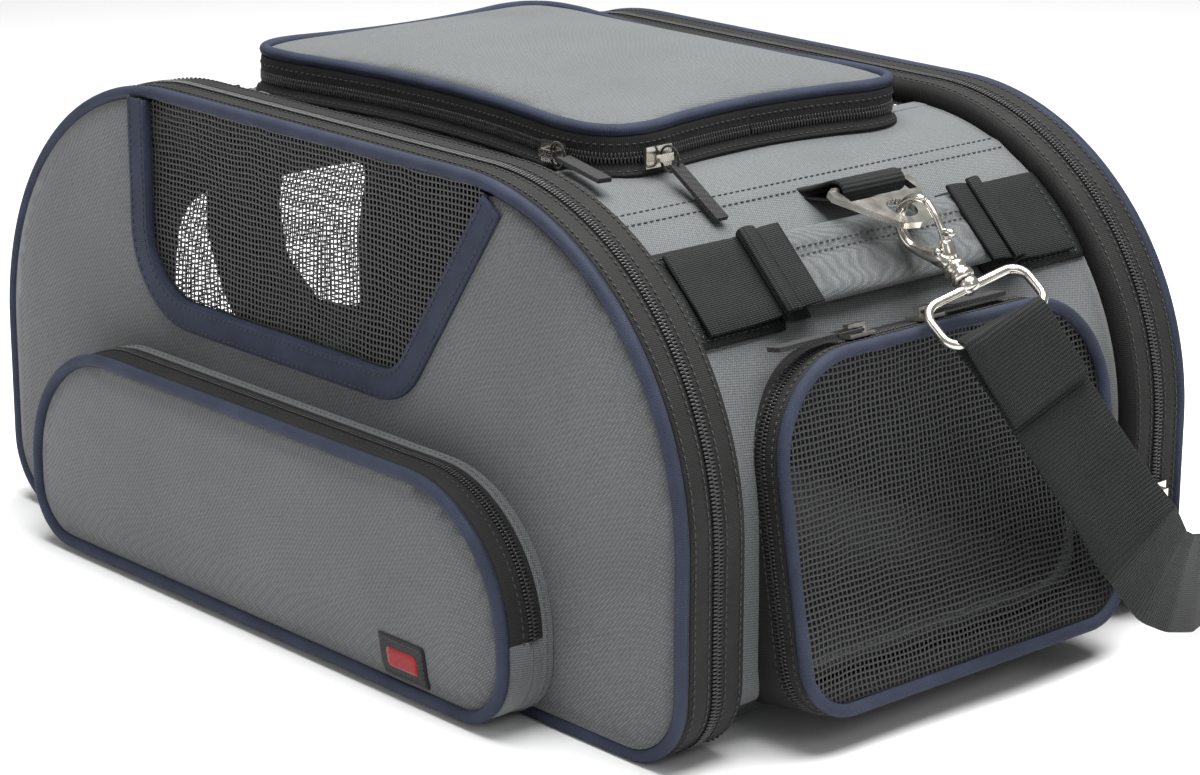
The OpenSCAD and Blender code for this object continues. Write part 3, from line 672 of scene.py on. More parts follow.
def wing(side, m):
    body = side + "_wing"
    pipe = rim_frames(arch(PIPE_R), m)
    profile = circle(PIPE_R, 14, centre=(0, -PIPE_SINK))
    sweep(side + "_piping", pipe, profile, NAVY, body, replaces=[side + "_wing_piping"])
    top = over_top(arch(0))
    rim = rim_frames(top, m, closed=False)
    tape = band(-4.5 * MM, -0.9 * MM, SPLIT_W + 1.9 * MM, -4.6 * MM, 0.5 * MM)
    sweep(side + "_upper_tape", rim, tape, TAPE, body, closed=False, replaces=[side + "_wing_tape"])
    lip = band(-4 * MM, -1.5 * MM, SPLIT_W + 0.15 * MM, SPLIT_W + 2.2 * MM)
    sweep(side + "_upper_coil_tape", rim, lip, TAPE, body, closed=False)
    half_coil(side + "_upper_coil", rim, 1, SPLIT_W, -0.75 * MM, body)
    half_coil(side + "_lower_coil", rim, -1, SPLIT_W, -0.75 * MM, "shell")
    lip = band(-4 * MM, -1.5 * MM, SPLIT_W - 2.2 * MM, SPLIT_W - 0.15 * MM)
    sweep(side + "_lower_coil_tape", rim, lip, TAPE, "shell", closed=False)
    tape = band(-4.5 * MM, -0.9 * MM, RIM_W + 1 * MM, SPLIT_W - 1.9 * MM, 0.4 * MM)
    sweep(side + "_lower_tape", rim, tape, TAPE, "shell", closed=False, replaces=["rim_tapes"])
    skirt = [(-0.9 * MM, RIM_W + 2.2 * MM), (-1.2 * MM, RIM_W + 0.6 * MM), (-4.5 * MM, RIM_W + 0.2 * MM),
             (-11.6 * MM, RIM_W), (-11.6 * MM, RIM_W + 1.6 * MM), (-4.5 * MM, RIM_W + 2.2 * MM)]
    sweep(side + "_rim_turn", rim, skirt, TAPE, "shell", closed=False)
    for k, level in enumerate((SPLIT_W + 4.2 * MM, -6.4 * MM)):
        stitches(f"{side}_upper_stitch_{k}", rim, -0.35 * MM, level, body)
    for k, level in enumerate((SPLIT_W - 4.2 * MM, RIM_W + 3 * MM)):
        stitches(f"{side}_lower_stitch_{k}", rim, -0.4 * MM, level, "shell")

    edge = arch(5.2 * MM)
    cut = window_outline()
    hole = np.vstack([cut, [(cut[-1][0], 240 * MM), (cut[0][0], 240 * MM)]])
    seed = 3.0 if side == "front" else 9.0

    def lift(u, v, d):
        plump = 1.6 * MM * (1 - np.exp(-d / (14 * MM)))
        pulls = creases(u, v, 60 * MM, 0.9 * MM, seed) * np.clip(d / (25 * MM), 0, 1)
        height = plump - 0.6 * MM + pulls - 0.9 * MM * np.exp(-((d - 3 * MM) / (2.5 * MM)) ** 2)
        if side == "front":
            inside = np.clip(-signed(under_pocket, np.stack([u, v], axis=1)) / (10 * MM), 0, 1)
            height -= inside * (height + 1.5 * MM)
        return height

    cloth = panel(side + "_panel", edge, flat_bend(m), lift, GREY, body, holes=[hole],
                  replaces=[side + "_wing_panel"])
    mesh_edge = arch(4.9 * MM)
    inside = cut[signed(mesh_edge, cut) < -0.5 * MM]
    left_top, right_top = inside[0], inside[-1]
    between = (mesh_edge[:, 0] > left_top[0]) & (mesh_edge[:, 0] < right_top[0])
    over = mesh_edge[(mesh_edge[:, 1] > 150 * MM) & between]
    opening = np.vstack([inside, over[np.argsort(-over[:, 0])]])
    opening = even(opening, 3 * MM)

    def slack(u, v, d):
        return -1.8 * MM - 1.2 * MM * np.clip(d / (30 * MM), 0, 1) + creases(u, v, 50 * MM, 0.6 * MM,
                                                                             seed + 2)

    panel(side + "_window_net", opening, flat_bend(m), slack, NET, body, thick=0,
          replaces=[side + "_window_mesh"])
    tape_run = rim_frames(inside, m, closed=False)
    flat = band_flat(-0.4 * MM, 11.5 * MM, 0.5 * MM, 2.0 * MM)
    sweep(side + "_window_tape", tape_run, flat, NAVY, body, closed=False,
          replaces=[side + "_window_binding"])
    for k, out in enumerate((1.6 * MM, 9.4 * MM)):
        stitches(f"{side}_window_stitch_{k}", tape_run, out, 2.05 * MM, body)
    inner = band_flat(-0.6 * MM, 1.2 * MM, -3.4 * MM, 1.2 * MM)
    sweep(side + "_window_edge", tape_run, inner, NAVY, body, closed=False)


def band_flat(inner, outer, low, high, count=6):
    """Strip lying flat: wide in the outward direction, rounded over its edges."""
    points = [(inner, low), (inner + (outer - inner) * 0.03, high - 0.25 * MM)]
    for t in np.linspace(0.08, 0.92, count):
        points.append((inner + (outer - inner) * t, high - 0.18 * MM * abs(2 * t - 1)))
    points += [(outer - (outer - inner) * 0.03, high - 0.25 * MM), (outer, low)]
    return points[::-1]


wing("front", FRONT)
wing("rear", REAR)


# ---- middle of the bag: end walls, shoulders and top mesh ----

WAIST = 9 * MM
WALL_Y = 107.8 * MM
waist_run = even(over_top(arch(WAIST)), 2 * MM, closed=False)
waist_out = normals(waist_run, closed=False)
waist_s = np.concatenate([[0], np.cumsum(np.linalg.norm(np.diff(waist_run, axis=0), axis=1))])


def waist_bend(flat, height):
    """Maps (distance along the waist from the right foot, -y) and a height onto the bag."""
    px = np.interp(flat[:, 0], waist_s, waist_run[:, 0])
    pz = np.interp(flat[:, 0], waist_s, waist_run[:, 1])
    nx = np.interp(flat[:, 0], waist_s, waist_out[:, 0])
    nz = np.interp(flat[:, 0], waist_s, waist_out[:, 1])
    return np.stack([px + nx * height, -flat[:, 1], pz + nz * height], axis=1)


def bent_frames(points, bend, closed=True):
    """Place, outward and upward directions along a line drawn on a bent surface."""
    zero = np.zeros(len(points))
    at = bend(points, zero)
    up = bend(points, zero + 1 * MM) - at
    up /= np.linalg.norm(up, axis=1)[:, None]
    along = (np.roll(at, -1, 0) - np.roll(at, 1, 0)) if closed else np.gradient(at, axis=0)
    along /= np.linalg.norm(along, axis=1)[:, None]
    out = np.cross(along, up)
    return at, out / np.linalg.norm(out, axis=1)[:, None], up


def s_at_x(x):
    """Distance along the waist where it crosses a given x on its upper half."""
    half = waist_run[:, 1] > 90 * MM
    return float(np.interp(-x, -waist_run[half, 0], waist_s[half]))


def s_at_z(z, right=True):
    """Distance along the waist at a height on the right or left wall."""
    side = waist_run[:, 0] > 0 if right else waist_run[:, 0] < 0
    zs, ss = waist_run[side, 1], waist_s[side]
    order = np.argsort(zs)
    return float(np.interp(z, zs[order], ss[order]))


def on_wall(points, right=True):
    """Turns a (y, z) outline into the waist's flat coordinates."""
    flat = np.array([(s_at_z(z, right), -y) for y, z in points])
    area = np.sum(flat[:, 0] * np.roll(flat[:, 1], -1) - np.roll(flat[:, 0], -1) * flat[:, 1])
    return flat if area > 0 else flat[::-1]


def oblong(x0, x1, y0, y1, r, step=3 * MM):
    points = bow(x0 + r, y0 + r, r, 180, 270) + bow(x1 - r, y0 + r, r, -90, 0)
    points += bow(x1 - r, y1 - r, r, 0, 90) + bow(x0 + r, y1 - r, r, 90, 180)
    return even(points, step)


LID_L, LID_W = 232 * MM, 166 * MM
LID_WAIST, LID_END_IN, LID_CORNER = 9 * MM, 8 * MM, 18 * MM


def lid_plan(grow, step=3 * MM):
    """The lid's outline: a rounded oblong with four hollowed sides, softened where the curves meet."""
    half_x, half_y = LID_L / 2 + grow, LID_W / 2 + grow
    corner = LID_CORNER + grow
    long_chord, end_chord = LID_L / 2 - 34 * MM, LID_W / 2 - 26 * MM
    long_r = (long_chord ** 2 + LID_WAIST ** 2) / (2 * LID_WAIST)
    end_r = (end_chord ** 2 + LID_END_IN ** 2) / (2 * LID_END_IN)
    quarter = [(x, half_y + long_r - LID_WAIST - math.sqrt(long_r ** 2 - x ** 2))
               for x in np.linspace(0, long_chord, 30)]
    quarter += bow(half_x - corner, half_y - corner, corner, 90, 0, 20)
    quarter += [(half_x + end_r - LID_END_IN - math.sqrt(end_r ** 2 - y ** 2), y)
                for y in np.linspace(end_chord, 0, 20)]
    q = np.array(quarter)
    ring = np.vstack([q[::-1], (q * (-1, 1))[1:], (q * (-1, -1))[::-1][1:], (q * (1, -1))[1:-1]])
    ring = even(ring, step)
    for _ in range(4):
        ring = (np.roll(ring, 1, 0) + 2 * ring + np.roll(ring, -1, 0)) / 4
    return ring


def end_wall(side, right):
    s0, s1 = (0.0, s_at_x(97 * MM)) if right else (s_at_x(-97 * MM), float(waist_s[-1]))
    outline = oblong(s0, s1, -WALL_Y, WALL_Y, 1 * MM)
    if right:
        door_low, door_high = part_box("door_piping")
        middle = (door_low.y + door_high.y) / 2
        half = (door_high.y - door_low.y) / 2 - 8 * MM
        hole = rounded(half, 22 * MM, 136 * MM, 34 * MM, 16 * MM, cx=middle)
    else:
        net_low, net_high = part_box("left_end_mesh")
        middle = (net_low.y + net_high.y) / 2
        hole = rounded(net_high.y - middle, net_low.z, net_high.z, 18 * MM, 18 * MM, cx=middle)
    hole = even(on_wall(hole, right), 3 * MM)
    plan = lid_plan(-5 * MM)
    plan = plan[(plan[:, 0] > 90 * MM) if right else (plan[:, 0] < -90 * MM)]
    notch = np.array([(s_at_x(x), -y) for x, y in plan])
    notch = notch[np.argsort(notch[:, 1])]
    far = s1 + 20 * MM if right else s0 - 20 * MM
    notch = np.vstack([notch, [(far, notch[-1][1]), (far, notch[0][1])]])
    seed = 21.0 if right else 33.0
    seam = s_at_x(142 * MM if right else -142 * MM)

    def lift(u, v, d):
        cross = np.abs(v) / WALL_Y
        sag = -1.2 * MM * (1 - cross ** 2) * (np.abs(u - seam) > 30 * MM)
        pulls = creases(u * 0.6, v, 45 * MM, 1.1 * MM, seed) * np.clip(d / (15 * MM), 0, 1)
        pulls *= 1 - np.exp(-((u - seam) / (9 * MM)) ** 2)
        ridge = 0.9 * MM * np.exp(-((u - seam) / (3.5 * MM)) ** 2)
        return pulls + ridge + sag * 0.5

    panel(side + "_wall", outline, waist_bend, lift, GREY_RUN, "shell", holes=[hole, notch],
          replaces=[side + "_end_panel"] + (["shoulder_panels"] if right else []))
    for k, shift in enumerate((-3.2 * MM, 3.2 * MM)):
        line = even([(seam + shift, -WALL_Y + 3 * MM), (seam + shift, WALL_Y - 3 * MM)], 4 * MM, closed=False)
        stitches(f"{side}_shoulder_stitch_{k}", bent_frames(line, waist_bend, closed=False), 0, 0.75 * MM,
                 "shell",
                 mat=GREY_THREAD)
    return hole


end_wall("right", True)
window_hole = end_wall("left", False)

edge_frames = bent_frames(window_hole, waist_bend)
sweep("left_window_tape", edge_frames, band_flat(-0.8 * MM, 9 * MM, -2 * MM, 1.6 * MM), NAVY, "shell")
for k, out in enumerate((1.4 * MM, 7.2 * MM)):
    stitches(f"left_window_stitch_{k}", edge_frames, out, 1.6 * MM, "shell", closed=True)
panel("left_window_net", window_hole, waist_bend, lambda u, v,
      d: -1.5 * MM + creases(u, v, 40 * MM, 0.8 * MM, 5.0),
      NET, "shell", thick=0, replaces=["left_end_mesh"])

top_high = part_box("top_mesh_strips")[1]
TOP = place((0, 0, top_high.z), X, Y)
strip_edge = oblong(-98 * MM, 98 * MM, -WALL_Y, WALL_Y, 1 * MM)
panel("top_net", strip_edge, flat_bend(TOP),
      lambda u, v, d: -0.9 * MM + creases(u, v, 40 * MM, 0.7 * MM, 8.0) * np.clip(d / (10 * MM), 0, 1),
      NET, "shell", holes=[lid_plan(-6 * MM)], thick=0, replaces=["top_mesh_strips"])
for k, x in enumerate((-98 * MM, 98 * MM)):
    line = even([(x, -WALL_Y), (x, WALL_Y)], 4 * MM, closed=False)
    sweep(f"top_seam_{k}", bent_frames(line, flat_bend(TOP), closed=False),
          band_flat(-4 * MM, 4 * MM, -1 * MM, 0.9 * MM),
          GREY_RUN, "shell", closed=False)

base_low, base_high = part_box("base_panel")
BASE = place((0, 0, base_low.z), X, -Y)
pad = panel("base_pad", oblong(base_low.x, base_high.x, -134 * MM, 134 * MM, 6 * MM), flat_bend(BASE),
      lambda u, v, d: -1.4 * MM * np.exp(-d / (4 * MM)), GREY, "shell", step=8 * MM, thick=9 * MM,
      replaces=["base_panel"])


# ---- lid ----

band_low, band_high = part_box("lid_band")
LID_SPLIT = band_low.z
LID_EDGE = band_high.z
lid_rim = bent_frames(lid_plan(0), flat_bend(place((0, 0, 0), X, Y)))
skirt = [(2.4 * MM, top_high.z - 0.3 * MM), (2.2 * MM, top_high.z + 0.9 * MM),
         (0.2 * MM, top_high.z + 2.4 * MM),
         (-0.3 * MM, LID_SPLIT - 2.2 * MM), (-2 * MM, LID_SPLIT - 0.2 * MM), (-4 * MM, LID_SPLIT - 0.3 * MM),
         (-7 * MM, top_high.z), (-7 * MM, top_high.z - 1.5 * MM)]
sweep("lid_frame", lid_rim, skirt, TAPE, "shell", replaces=["lid_frame_tape"])
half_coil("lid_frame_coil", lid_rim, -1, LID_SPLIT, -0.5 * MM, "shell", closed=True)
half_coil("lid_coil", lid_rim, 1, LID_SPLIT, -0.5 * MM, "lid", closed=True)
side_tape = band(-3.6 * MM, -0.2 * MM, LID_SPLIT + 0.2 * MM, LID_EDGE, 0.3 * MM)
sweep("lid_tape", lid_rim, side_tape, TAPE, "lid", replaces=["lid_band"])
stitches("lid_tape_stitch", lid_rim, 0.25 * MM, LID_SPLIT + 5.4 * MM, "lid", closed=True)
stitches("lid_frame_stitch", lid_rim, 1.6 * MM, top_high.z + 1.6 * MM, "shell", closed=True)
pipe_low, pipe_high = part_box("lid_piping")
PIPE_Z = (pipe_low.z + pipe_high.z) / 2
sweep("lid_cord", lid_rim, circle(2.4 * MM, 14, centre=(-1.9 * MM, PIPE_Z)), NAVY, "lid",
      replaces=["lid_piping"])
lid_top_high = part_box("lid_top")[1]


def dome(u, v, d):
    rise = lid_top_high.z - PIPE_Z - 0.6 * MM
    cushion = np.clip(1 - (u / (LID_L / 2)) ** 2, 0, 1) ** 0.8 * np.clip(1 - (v / (LID_W / 2)) ** 2, 0,
                                                                         1) ** 0.7
    edge = 2.2 * MM * (1 - np.exp(-d / (6 * MM)))
    soft = creases(u, v, 55 * MM, 1.3 * MM, 12.0) * np.clip(d / (20 * MM), 0, 1)
    return PIPE_Z - 0.6 * MM + edge + (rise - 2.2 * MM) * cushion + soft


cushion = panel("lid_cushion", lid_plan(-3.4 * MM), flat_bend(place((0, 0, 0), X, Y)), dome, GREY, "lid",
                step=3.5 * MM,
      replaces=["lid_top"], slot="light_fabric")


# ---- end door ----

door_low, door_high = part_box("door_piping")
LEAN = math.radians(10.5)
DOOR_HALF, DOOR_H = 91 * MM, 136 * MM
DOOR = place((door_high.x, (door_low.y + door_high.y) / 2, 14 * MM), Y,
             (-math.sin(LEAN), 0, math.cos(LEAN)))


def door_outline(inset):
    return rounded(DOOR_HALF, 0, DOOR_H, 42 * MM, 24 * MM, inset=inset)


DOOR_SPLIT = -12 * MM
door_at = flat_bend(DOOR)
door_rim = bent_frames(door_outline(0), door_at)
tape = band(-4.5 * MM, -0.8 * MM, DOOR_SPLIT + 0.2 * MM, -4.6 * MM, 0.4 * MM)
sweep("door_tape", door_rim, tape, TAPE, "door", replaces=["door_band"])
half_coil("door_coil", door_rim, 1, DOOR_SPLIT, -0.8 * MM, "door", closed=True)
half_coil("door_frame_coil", door_rim, -1, DOOR_SPLIT, -0.8 * MM, "shell", closed=True)
sweep("door_cord", bent_frames(door_outline(2.5 * MM), door_at), circle(2.5 * MM, 14, centre=(0, -2.5 * MM)),
      NAVY, "door",
      replaces=["door_piping"])
stitches("door_tape_stitch", door_rim, -0.35 * MM, -6.2 * MM, "door", closed=True)


def wall_depth(points):
    """How far behind the door's face the end wall lies at each point of the door's outline."""
    reach = np.full(len(points), -30 * MM)
    for _ in range(6):
        at = door_at(points, reach)
        wall = np.interp(np.maximum(at[:, 2], 12 * MM), *right_profile)
        reach = reach + (wall - at[:, 0]) * 0.9
    return reach


low_half = waist_run[:, 0] > 120 * MM
right_profile = (waist_run[low_half, 1], waist_run[low_half, 0])
reach = np.minimum(wall_depth(door_outline(0)) - 1.5 * MM, DOOR_SPLIT - 4 * MM)
t = np.linspace(0, 1, 7)
profiles = []
for r in reach:
    outer = [(-0.8 * MM + 0.4 * MM * math.sin(math.pi * k),
              DOOR_SPLIT - 0.2 * MM + (r - DOOR_SPLIT) * k) for k in t]
    profiles.append(outer + [(-4.5 * MM, r), (-4.5 * MM, DOOR_SPLIT - 0.2 * MM)])
profiles = np.array(profiles)[:, ::-1]
sweep("door_collar", door_rim, profiles, TAPE, "shell", replaces=["door_frame_tape"])
stitches("door_collar_stitch", door_rim, -0.4 * MM, DOOR_SPLIT - 3.6 * MM, "shell", closed=True)


def door_slack(u, v, d):
    return -2.9 * MM - 1.5 * MM * np.clip(d / (40 * MM), 0, 1) + creases(u, v, 45 * MM, 1.0 * MM, 17.0)


panel("door_net", door_outline(4 * MM), door_at, door_slack, NET, "door", thick=0, replaces=["door_mesh"])


# ---- front pocket ----

POCKET_W = -FACE_Y - pocket_low.y
POCKET_SPLIT = 10 * MM
pocket_at = flat_bend(FRONT)
ring = pocket_outline(0)
zipped = [i for i, (x, z) in enumerate(ring) if not (z < 12 * MM or (x > POCKET_X and z < 38 * MM))]
start = next(i for i in zipped if (i - 1) not in zipped)
zip_line = ring[start:zipped[-1] + 1]
rest_line = np.vstack([ring[zipped[-1]:], ring[:start + 1]])
zip_rim = bent_frames(zip_line, pocket_at, closed=False)
rest_rim = bent_frames(rest_line, pocket_at, closed=False)
whole_rim = bent_frames(ring, pocket_at)
lower = band(-3.5 * MM, -0.2 * MM, 0.8 * MM, POCKET_SPLIT - 4.6 * MM, 0.2 * MM)
sweep("pocket_strip", whole_rim, lower, GREY_RUN, "front_wing", replaces=["front_pocket_strip"],
      slot="light_fabric")
lower = band(-3.6 * MM, -0.7 * MM, POCKET_SPLIT - 4.8 * MM, POCKET_SPLIT - 0.2 * MM, 0.2 * MM)
sweep("pocket_strip_tape", zip_rim, lower, TAPE, "front_wing", closed=False)
sweep("pocket_strip_foot", rest_rim, lower, GREY_RUN, "front_wing", closed=False, slot="light_fabric")
upper = band(-3.6 * MM, -0.7 * MM, POCKET_SPLIT + 0.2 * MM, POCKET_W - 4.6 * MM, 0.3 * MM)
sweep("pocket_tape", zip_rim, upper, TAPE, "front_pocket", closed=False, replaces=["pocket_gusset"])
sweep("pocket_foot", rest_rim, upper, GREY_RUN, "front_pocket", closed=False, slot="light_fabric")
half_coil("pocket_strip_coil", zip_rim, -1, POCKET_SPLIT, -0.7 * MM, "front_wing")
half_coil("pocket_coil", zip_rim, 1, POCKET_SPLIT, -0.7 * MM, "front_pocket")
stitches("pocket_tape_stitch", zip_rim, -0.3 * MM, POCKET_SPLIT + 5 * MM, "front_pocket")
stitches("pocket_strip_stitch", whole_rim, 0.0, POCKET_SPLIT - 6.2 * MM, "front_wing", closed=True,
         mat=GREY_THREAD)
sweep("pocket_cord", bent_frames(pocket_outline(PIPE_R), pocket_at),
      circle(PIPE_R, 14, centre=(0, POCKET_W - PIPE_R)),
      NAVY, "front_pocket", replaces=["pocket_piping"])


def pocket_lift(u, v, d):
    plump = 2.4 * MM * (1 - np.exp(-d / (16 * MM)))
    sag = 1.2 * MM * np.exp(-((v - 30 * MM) / (22 * MM)) ** 2) * np.clip(d / (20 * MM), 0, 1)
    soft = creases(u, v, 70 * MM, 1.1 * MM, 41.0) * np.clip(d / (20 * MM), 0, 1)
    return POCKET_W - 2.6 * MM + plump + sag + soft - 0.8 * MM * np.exp(-((d - 3 * MM) / (2.5 * MM)) ** 2)


panel("pocket_cloth", pocket_outline(4.2 * MM), pocket_at, pocket_lift, GREY, "front_pocket",
      replaces=["pocket_face"])


POCKET_PIECES = ["pocket_strip", "pocket_strip_tape", "pocket_strip_foot", "pocket_tape", "pocket_foot",
                 "pocket_strip_coil",
                 "pocket_coil", "pocket_tape_stitch", "pocket_strip_stitch", "pocket_cord", "pocket_cloth",
                 "label_cloth",
                 "label_field", "label_stitch"]


# ---- label patch: plain, without lettering ----

label_low, label_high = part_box("label_patch")
LABEL_MID = np.array([(label_low.x + label_high.x) / 2, (label_low.z + label_high.z) / 2])


def on_cloth(points, outline, lift, bend, over=0.0, closed=True):
    """Frames along a line that lies on a cloth panel, so that it follows the panel's swell."""
    p = np.asarray(points)
    height = lift(p[:, 0], p[:, 1], np.maximum(-signed(outline, p), 0)) + over
    at = bend(p, height)
    up = bend(p, height + 1 * MM) - at
    up /= np.linalg.norm(up, axis=1)[:, None]
    along = (np.roll(at, -1, 0) - np.roll(at, 1, 0)) if closed else np.gradient(at, axis=0)
    along /= np.linalg.norm(along, axis=1)[:, None]
    out = np.cross(along, up)
    return at, out / np.linalg.norm(out, axis=1)[:, None], up


def label(name, half_w, half_h, over, mat, corner):
    cloth = pocket_outline(4.2 * MM)

    def lift(u, v, d):
        depth = np.maximum(-signed(cloth, np.stack([u, v], axis=1)), 0)
        return pocket_lift(u, v, depth) + over - 0.25 * MM * np.exp(-d / (1.2 * MM))

    cx, cz = LABEL_MID
    return panel(name, oblong(cx - half_w, cx + half_w, cz - half_h, cz + half_h, corner, step=1.5 * MM),
                 pocket_at, lift,
                 mat, "front_pocket", step=1.5 * MM, thick=0.8 * MM, replaces=["label_patch"], slot="label")


label("label_cloth", 14 * MM, 9 * MM, 0.9 * MM, BLACK, 1.4 * MM)
label("label_field", 9 * MM, 4.2 * MM, 1.25 * MM, RED, 1 * MM)
border = oblong(LABEL_MID[0] - 12.4 * MM, LABEL_MID[0] + 12.4 * MM, LABEL_MID[1] - 7.4 * MM,
                LABEL_MID[1] + 7.4 * MM, 1 * MM)
stitches("label_stitch", on_cloth(border, pocket_outline(4.2 * MM), pocket_lift, pocket_at, 0.95 * MM), 0, 0,
         "front_pocket",
         closed=True, mat=GREY_THREAD, length=1.3 * MM, pitch=1.9 * MM, thick=0.22 * MM)


# ---- ribbons, tubes and other soft runs ----

def ribbon(name, points, sides, width, thick, mat, body, **more):
    """Webbing along a line in space; sides gives the direction of its width at each point."""
    at = np.array(points, float)
    side = np.array(sides, float)
    along = np.gradient(at, axis=0)
    along /= np.linalg.norm(along, axis=1)[:, None]
    side -= along * (side * along).sum(1)[:, None]
    side /= np.linalg.norm(side, axis=1)[:, None]
    up = np.cross(side, along)
    w, t = width / 2, thick / 2
    e = min(t, 0.5 * MM)
    profile = [(w, -t + e), (w, t - e), (w - e, t)]
    profile += [(w * k, t) for k in (0.6, 0.2, -0.2, -0.6)]
    profile += [(-w + e, t), (-w, t - e), (-w, -t + e), (-w + e, -t)]
    profile += [(w * k, -t) for k in (-0.6, -0.2, 0.2, 0.6)] + [(w - e, -t)]
    obj = sweep(name, (at, side, up), profile, mat, body, closed=False, **more)
    return obj, (at, side, up)


def smooth_run(points, step, rounds=3):
    """Even points along a bent line, with its corners eased."""
    p = even(points, step, closed=False)
    for _ in range(rounds):
        p[1:-1] = (p[:-2] + 2 * p[1:-1] + p[2:]) / 4
    return p


def spread(values, stops, count):
    """Values given at stops from 0 to 1, blended evenly over count points."""
    t = np.linspace(0, 1, count)
    v = np.array(values, float)
    return np.stack([np.interp(t, stops, v[:, i]) for i in range(v.shape[1])], axis=1)


def tube(name, points, radii, side, mat, body, squash=1.0, sides=16, closed=False, **more):
    """Bent bar of changing thickness; side is the direction that stays level across it."""
    at = np.array(points, float)
    along = (np.roll(at, -1, 0) - np.roll(at, 1, 0)) if closed else np.gradient(at, axis=0)
    along /= np.linalg.norm(along, axis=1)[:, None]
    out = np.tile(np.array(side, float), (len(at), 1))
    out -= along * (out * along).sum(1)[:, None]
    out /= np.linalg.norm(out, axis=1)[:, None]
    up = np.cross(out, along)
    radii = np.broadcast_to(np.array(radii, float), (len(at),))
    angles = np.linspace(0, 2 * math.pi, sides, endpoint=False)
    ring = np.stack([np.cos(angles), np.sin(angles) * squash], axis=1)
    return sweep(name, (at, out, up), radii[:, None, None] * ring[None], mat, body, closed=closed, **more)


def bevelled(node, mat, width, segments=3):
    """Gives a packed metal or plastic part rounded edges and a real finish."""
    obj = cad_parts[node]
    obj.data.materials.clear()
    obj.data.materials.append(mat)
    edge = obj.modifiers.new("soft_edges", "BEVEL")
    edge.width = width
    edge.segments = segments
    edge.limit_method = "ANGLE"
    edge.angle_limit = math.radians(35)
    edge.use_clamp_overlap = True
    edge.harden_normals = False
    for polygon in obj.data.polygons:
        polygon.use_smooth = True
    sharp = obj.modifiers.new("flat_faces", "WEIGHTED_NORMAL")
    sharp.keep_sharp = True


# ---- carry handles ----

SHOULDER_AT = np.array([175.9, 0, 164.7]) * MM
TILT = math.radians(44)
SLOPE_S = s_at_x(SHOULDER_AT[0])
TOTAL_S = float(waist_s[-1])
PATCH = 21 * MM
GRIP_L, GRIP_W, GRIP_T = 112 * MM, 32 * MM, 7.4 * MM


def shoulder_axes(sign):
    """Along the handle, up the slope and outwards, on the right (1) or left (-1) shoulder."""
    along = np.array([0, sign, 0.0])
    up_slope = np.array([-sign * math.cos(TILT), 0, math.sin(TILT)])
    out = np.array([sign * math.sin(TILT), 0, math.cos(TILT)])
    return along, up_slope, out


def patch(side, sign, k, end):
    middle = SLOPE_S if sign > 0 else TOTAL_S - SLOPE_S
    low, high = sorted((end * 60 * MM, end * 107.6 * MM))
    outline = oblong(middle - PATCH, middle + PATCH, low, high, 1 * MM)
    panel(f"{side}_patch_{k}", outline, waist_bend, lambda u, v,
          d: 1.7 * MM - 0.5 * MM * np.exp(-d / (1 * MM)), WEB, "shell",
          step=3 * MM, thick=1.6 * MM, swap=True, replaces=["handle_patches"])
    s0, s1 = middle - PATCH + 3 * MM, middle + PATCH - 3 * MM
    v0, v1 = end * 70 * MM, end * 103 * MM
    corners = [(s0, v0), (s1, v0), (s1, v1), (s0, v1)]
    lines = [corners + corners[:1], [corners[0], corners[2]], [corners[1], corners[3]]]
    for j, line in enumerate(lines):
        run = bent_frames(even(line, 3 * MM, closed=False), waist_bend, closed=False)
        stitches(f"{side}_patch_{k}_stitch_{j}", run, 0, 1.85 * MM, "shell")


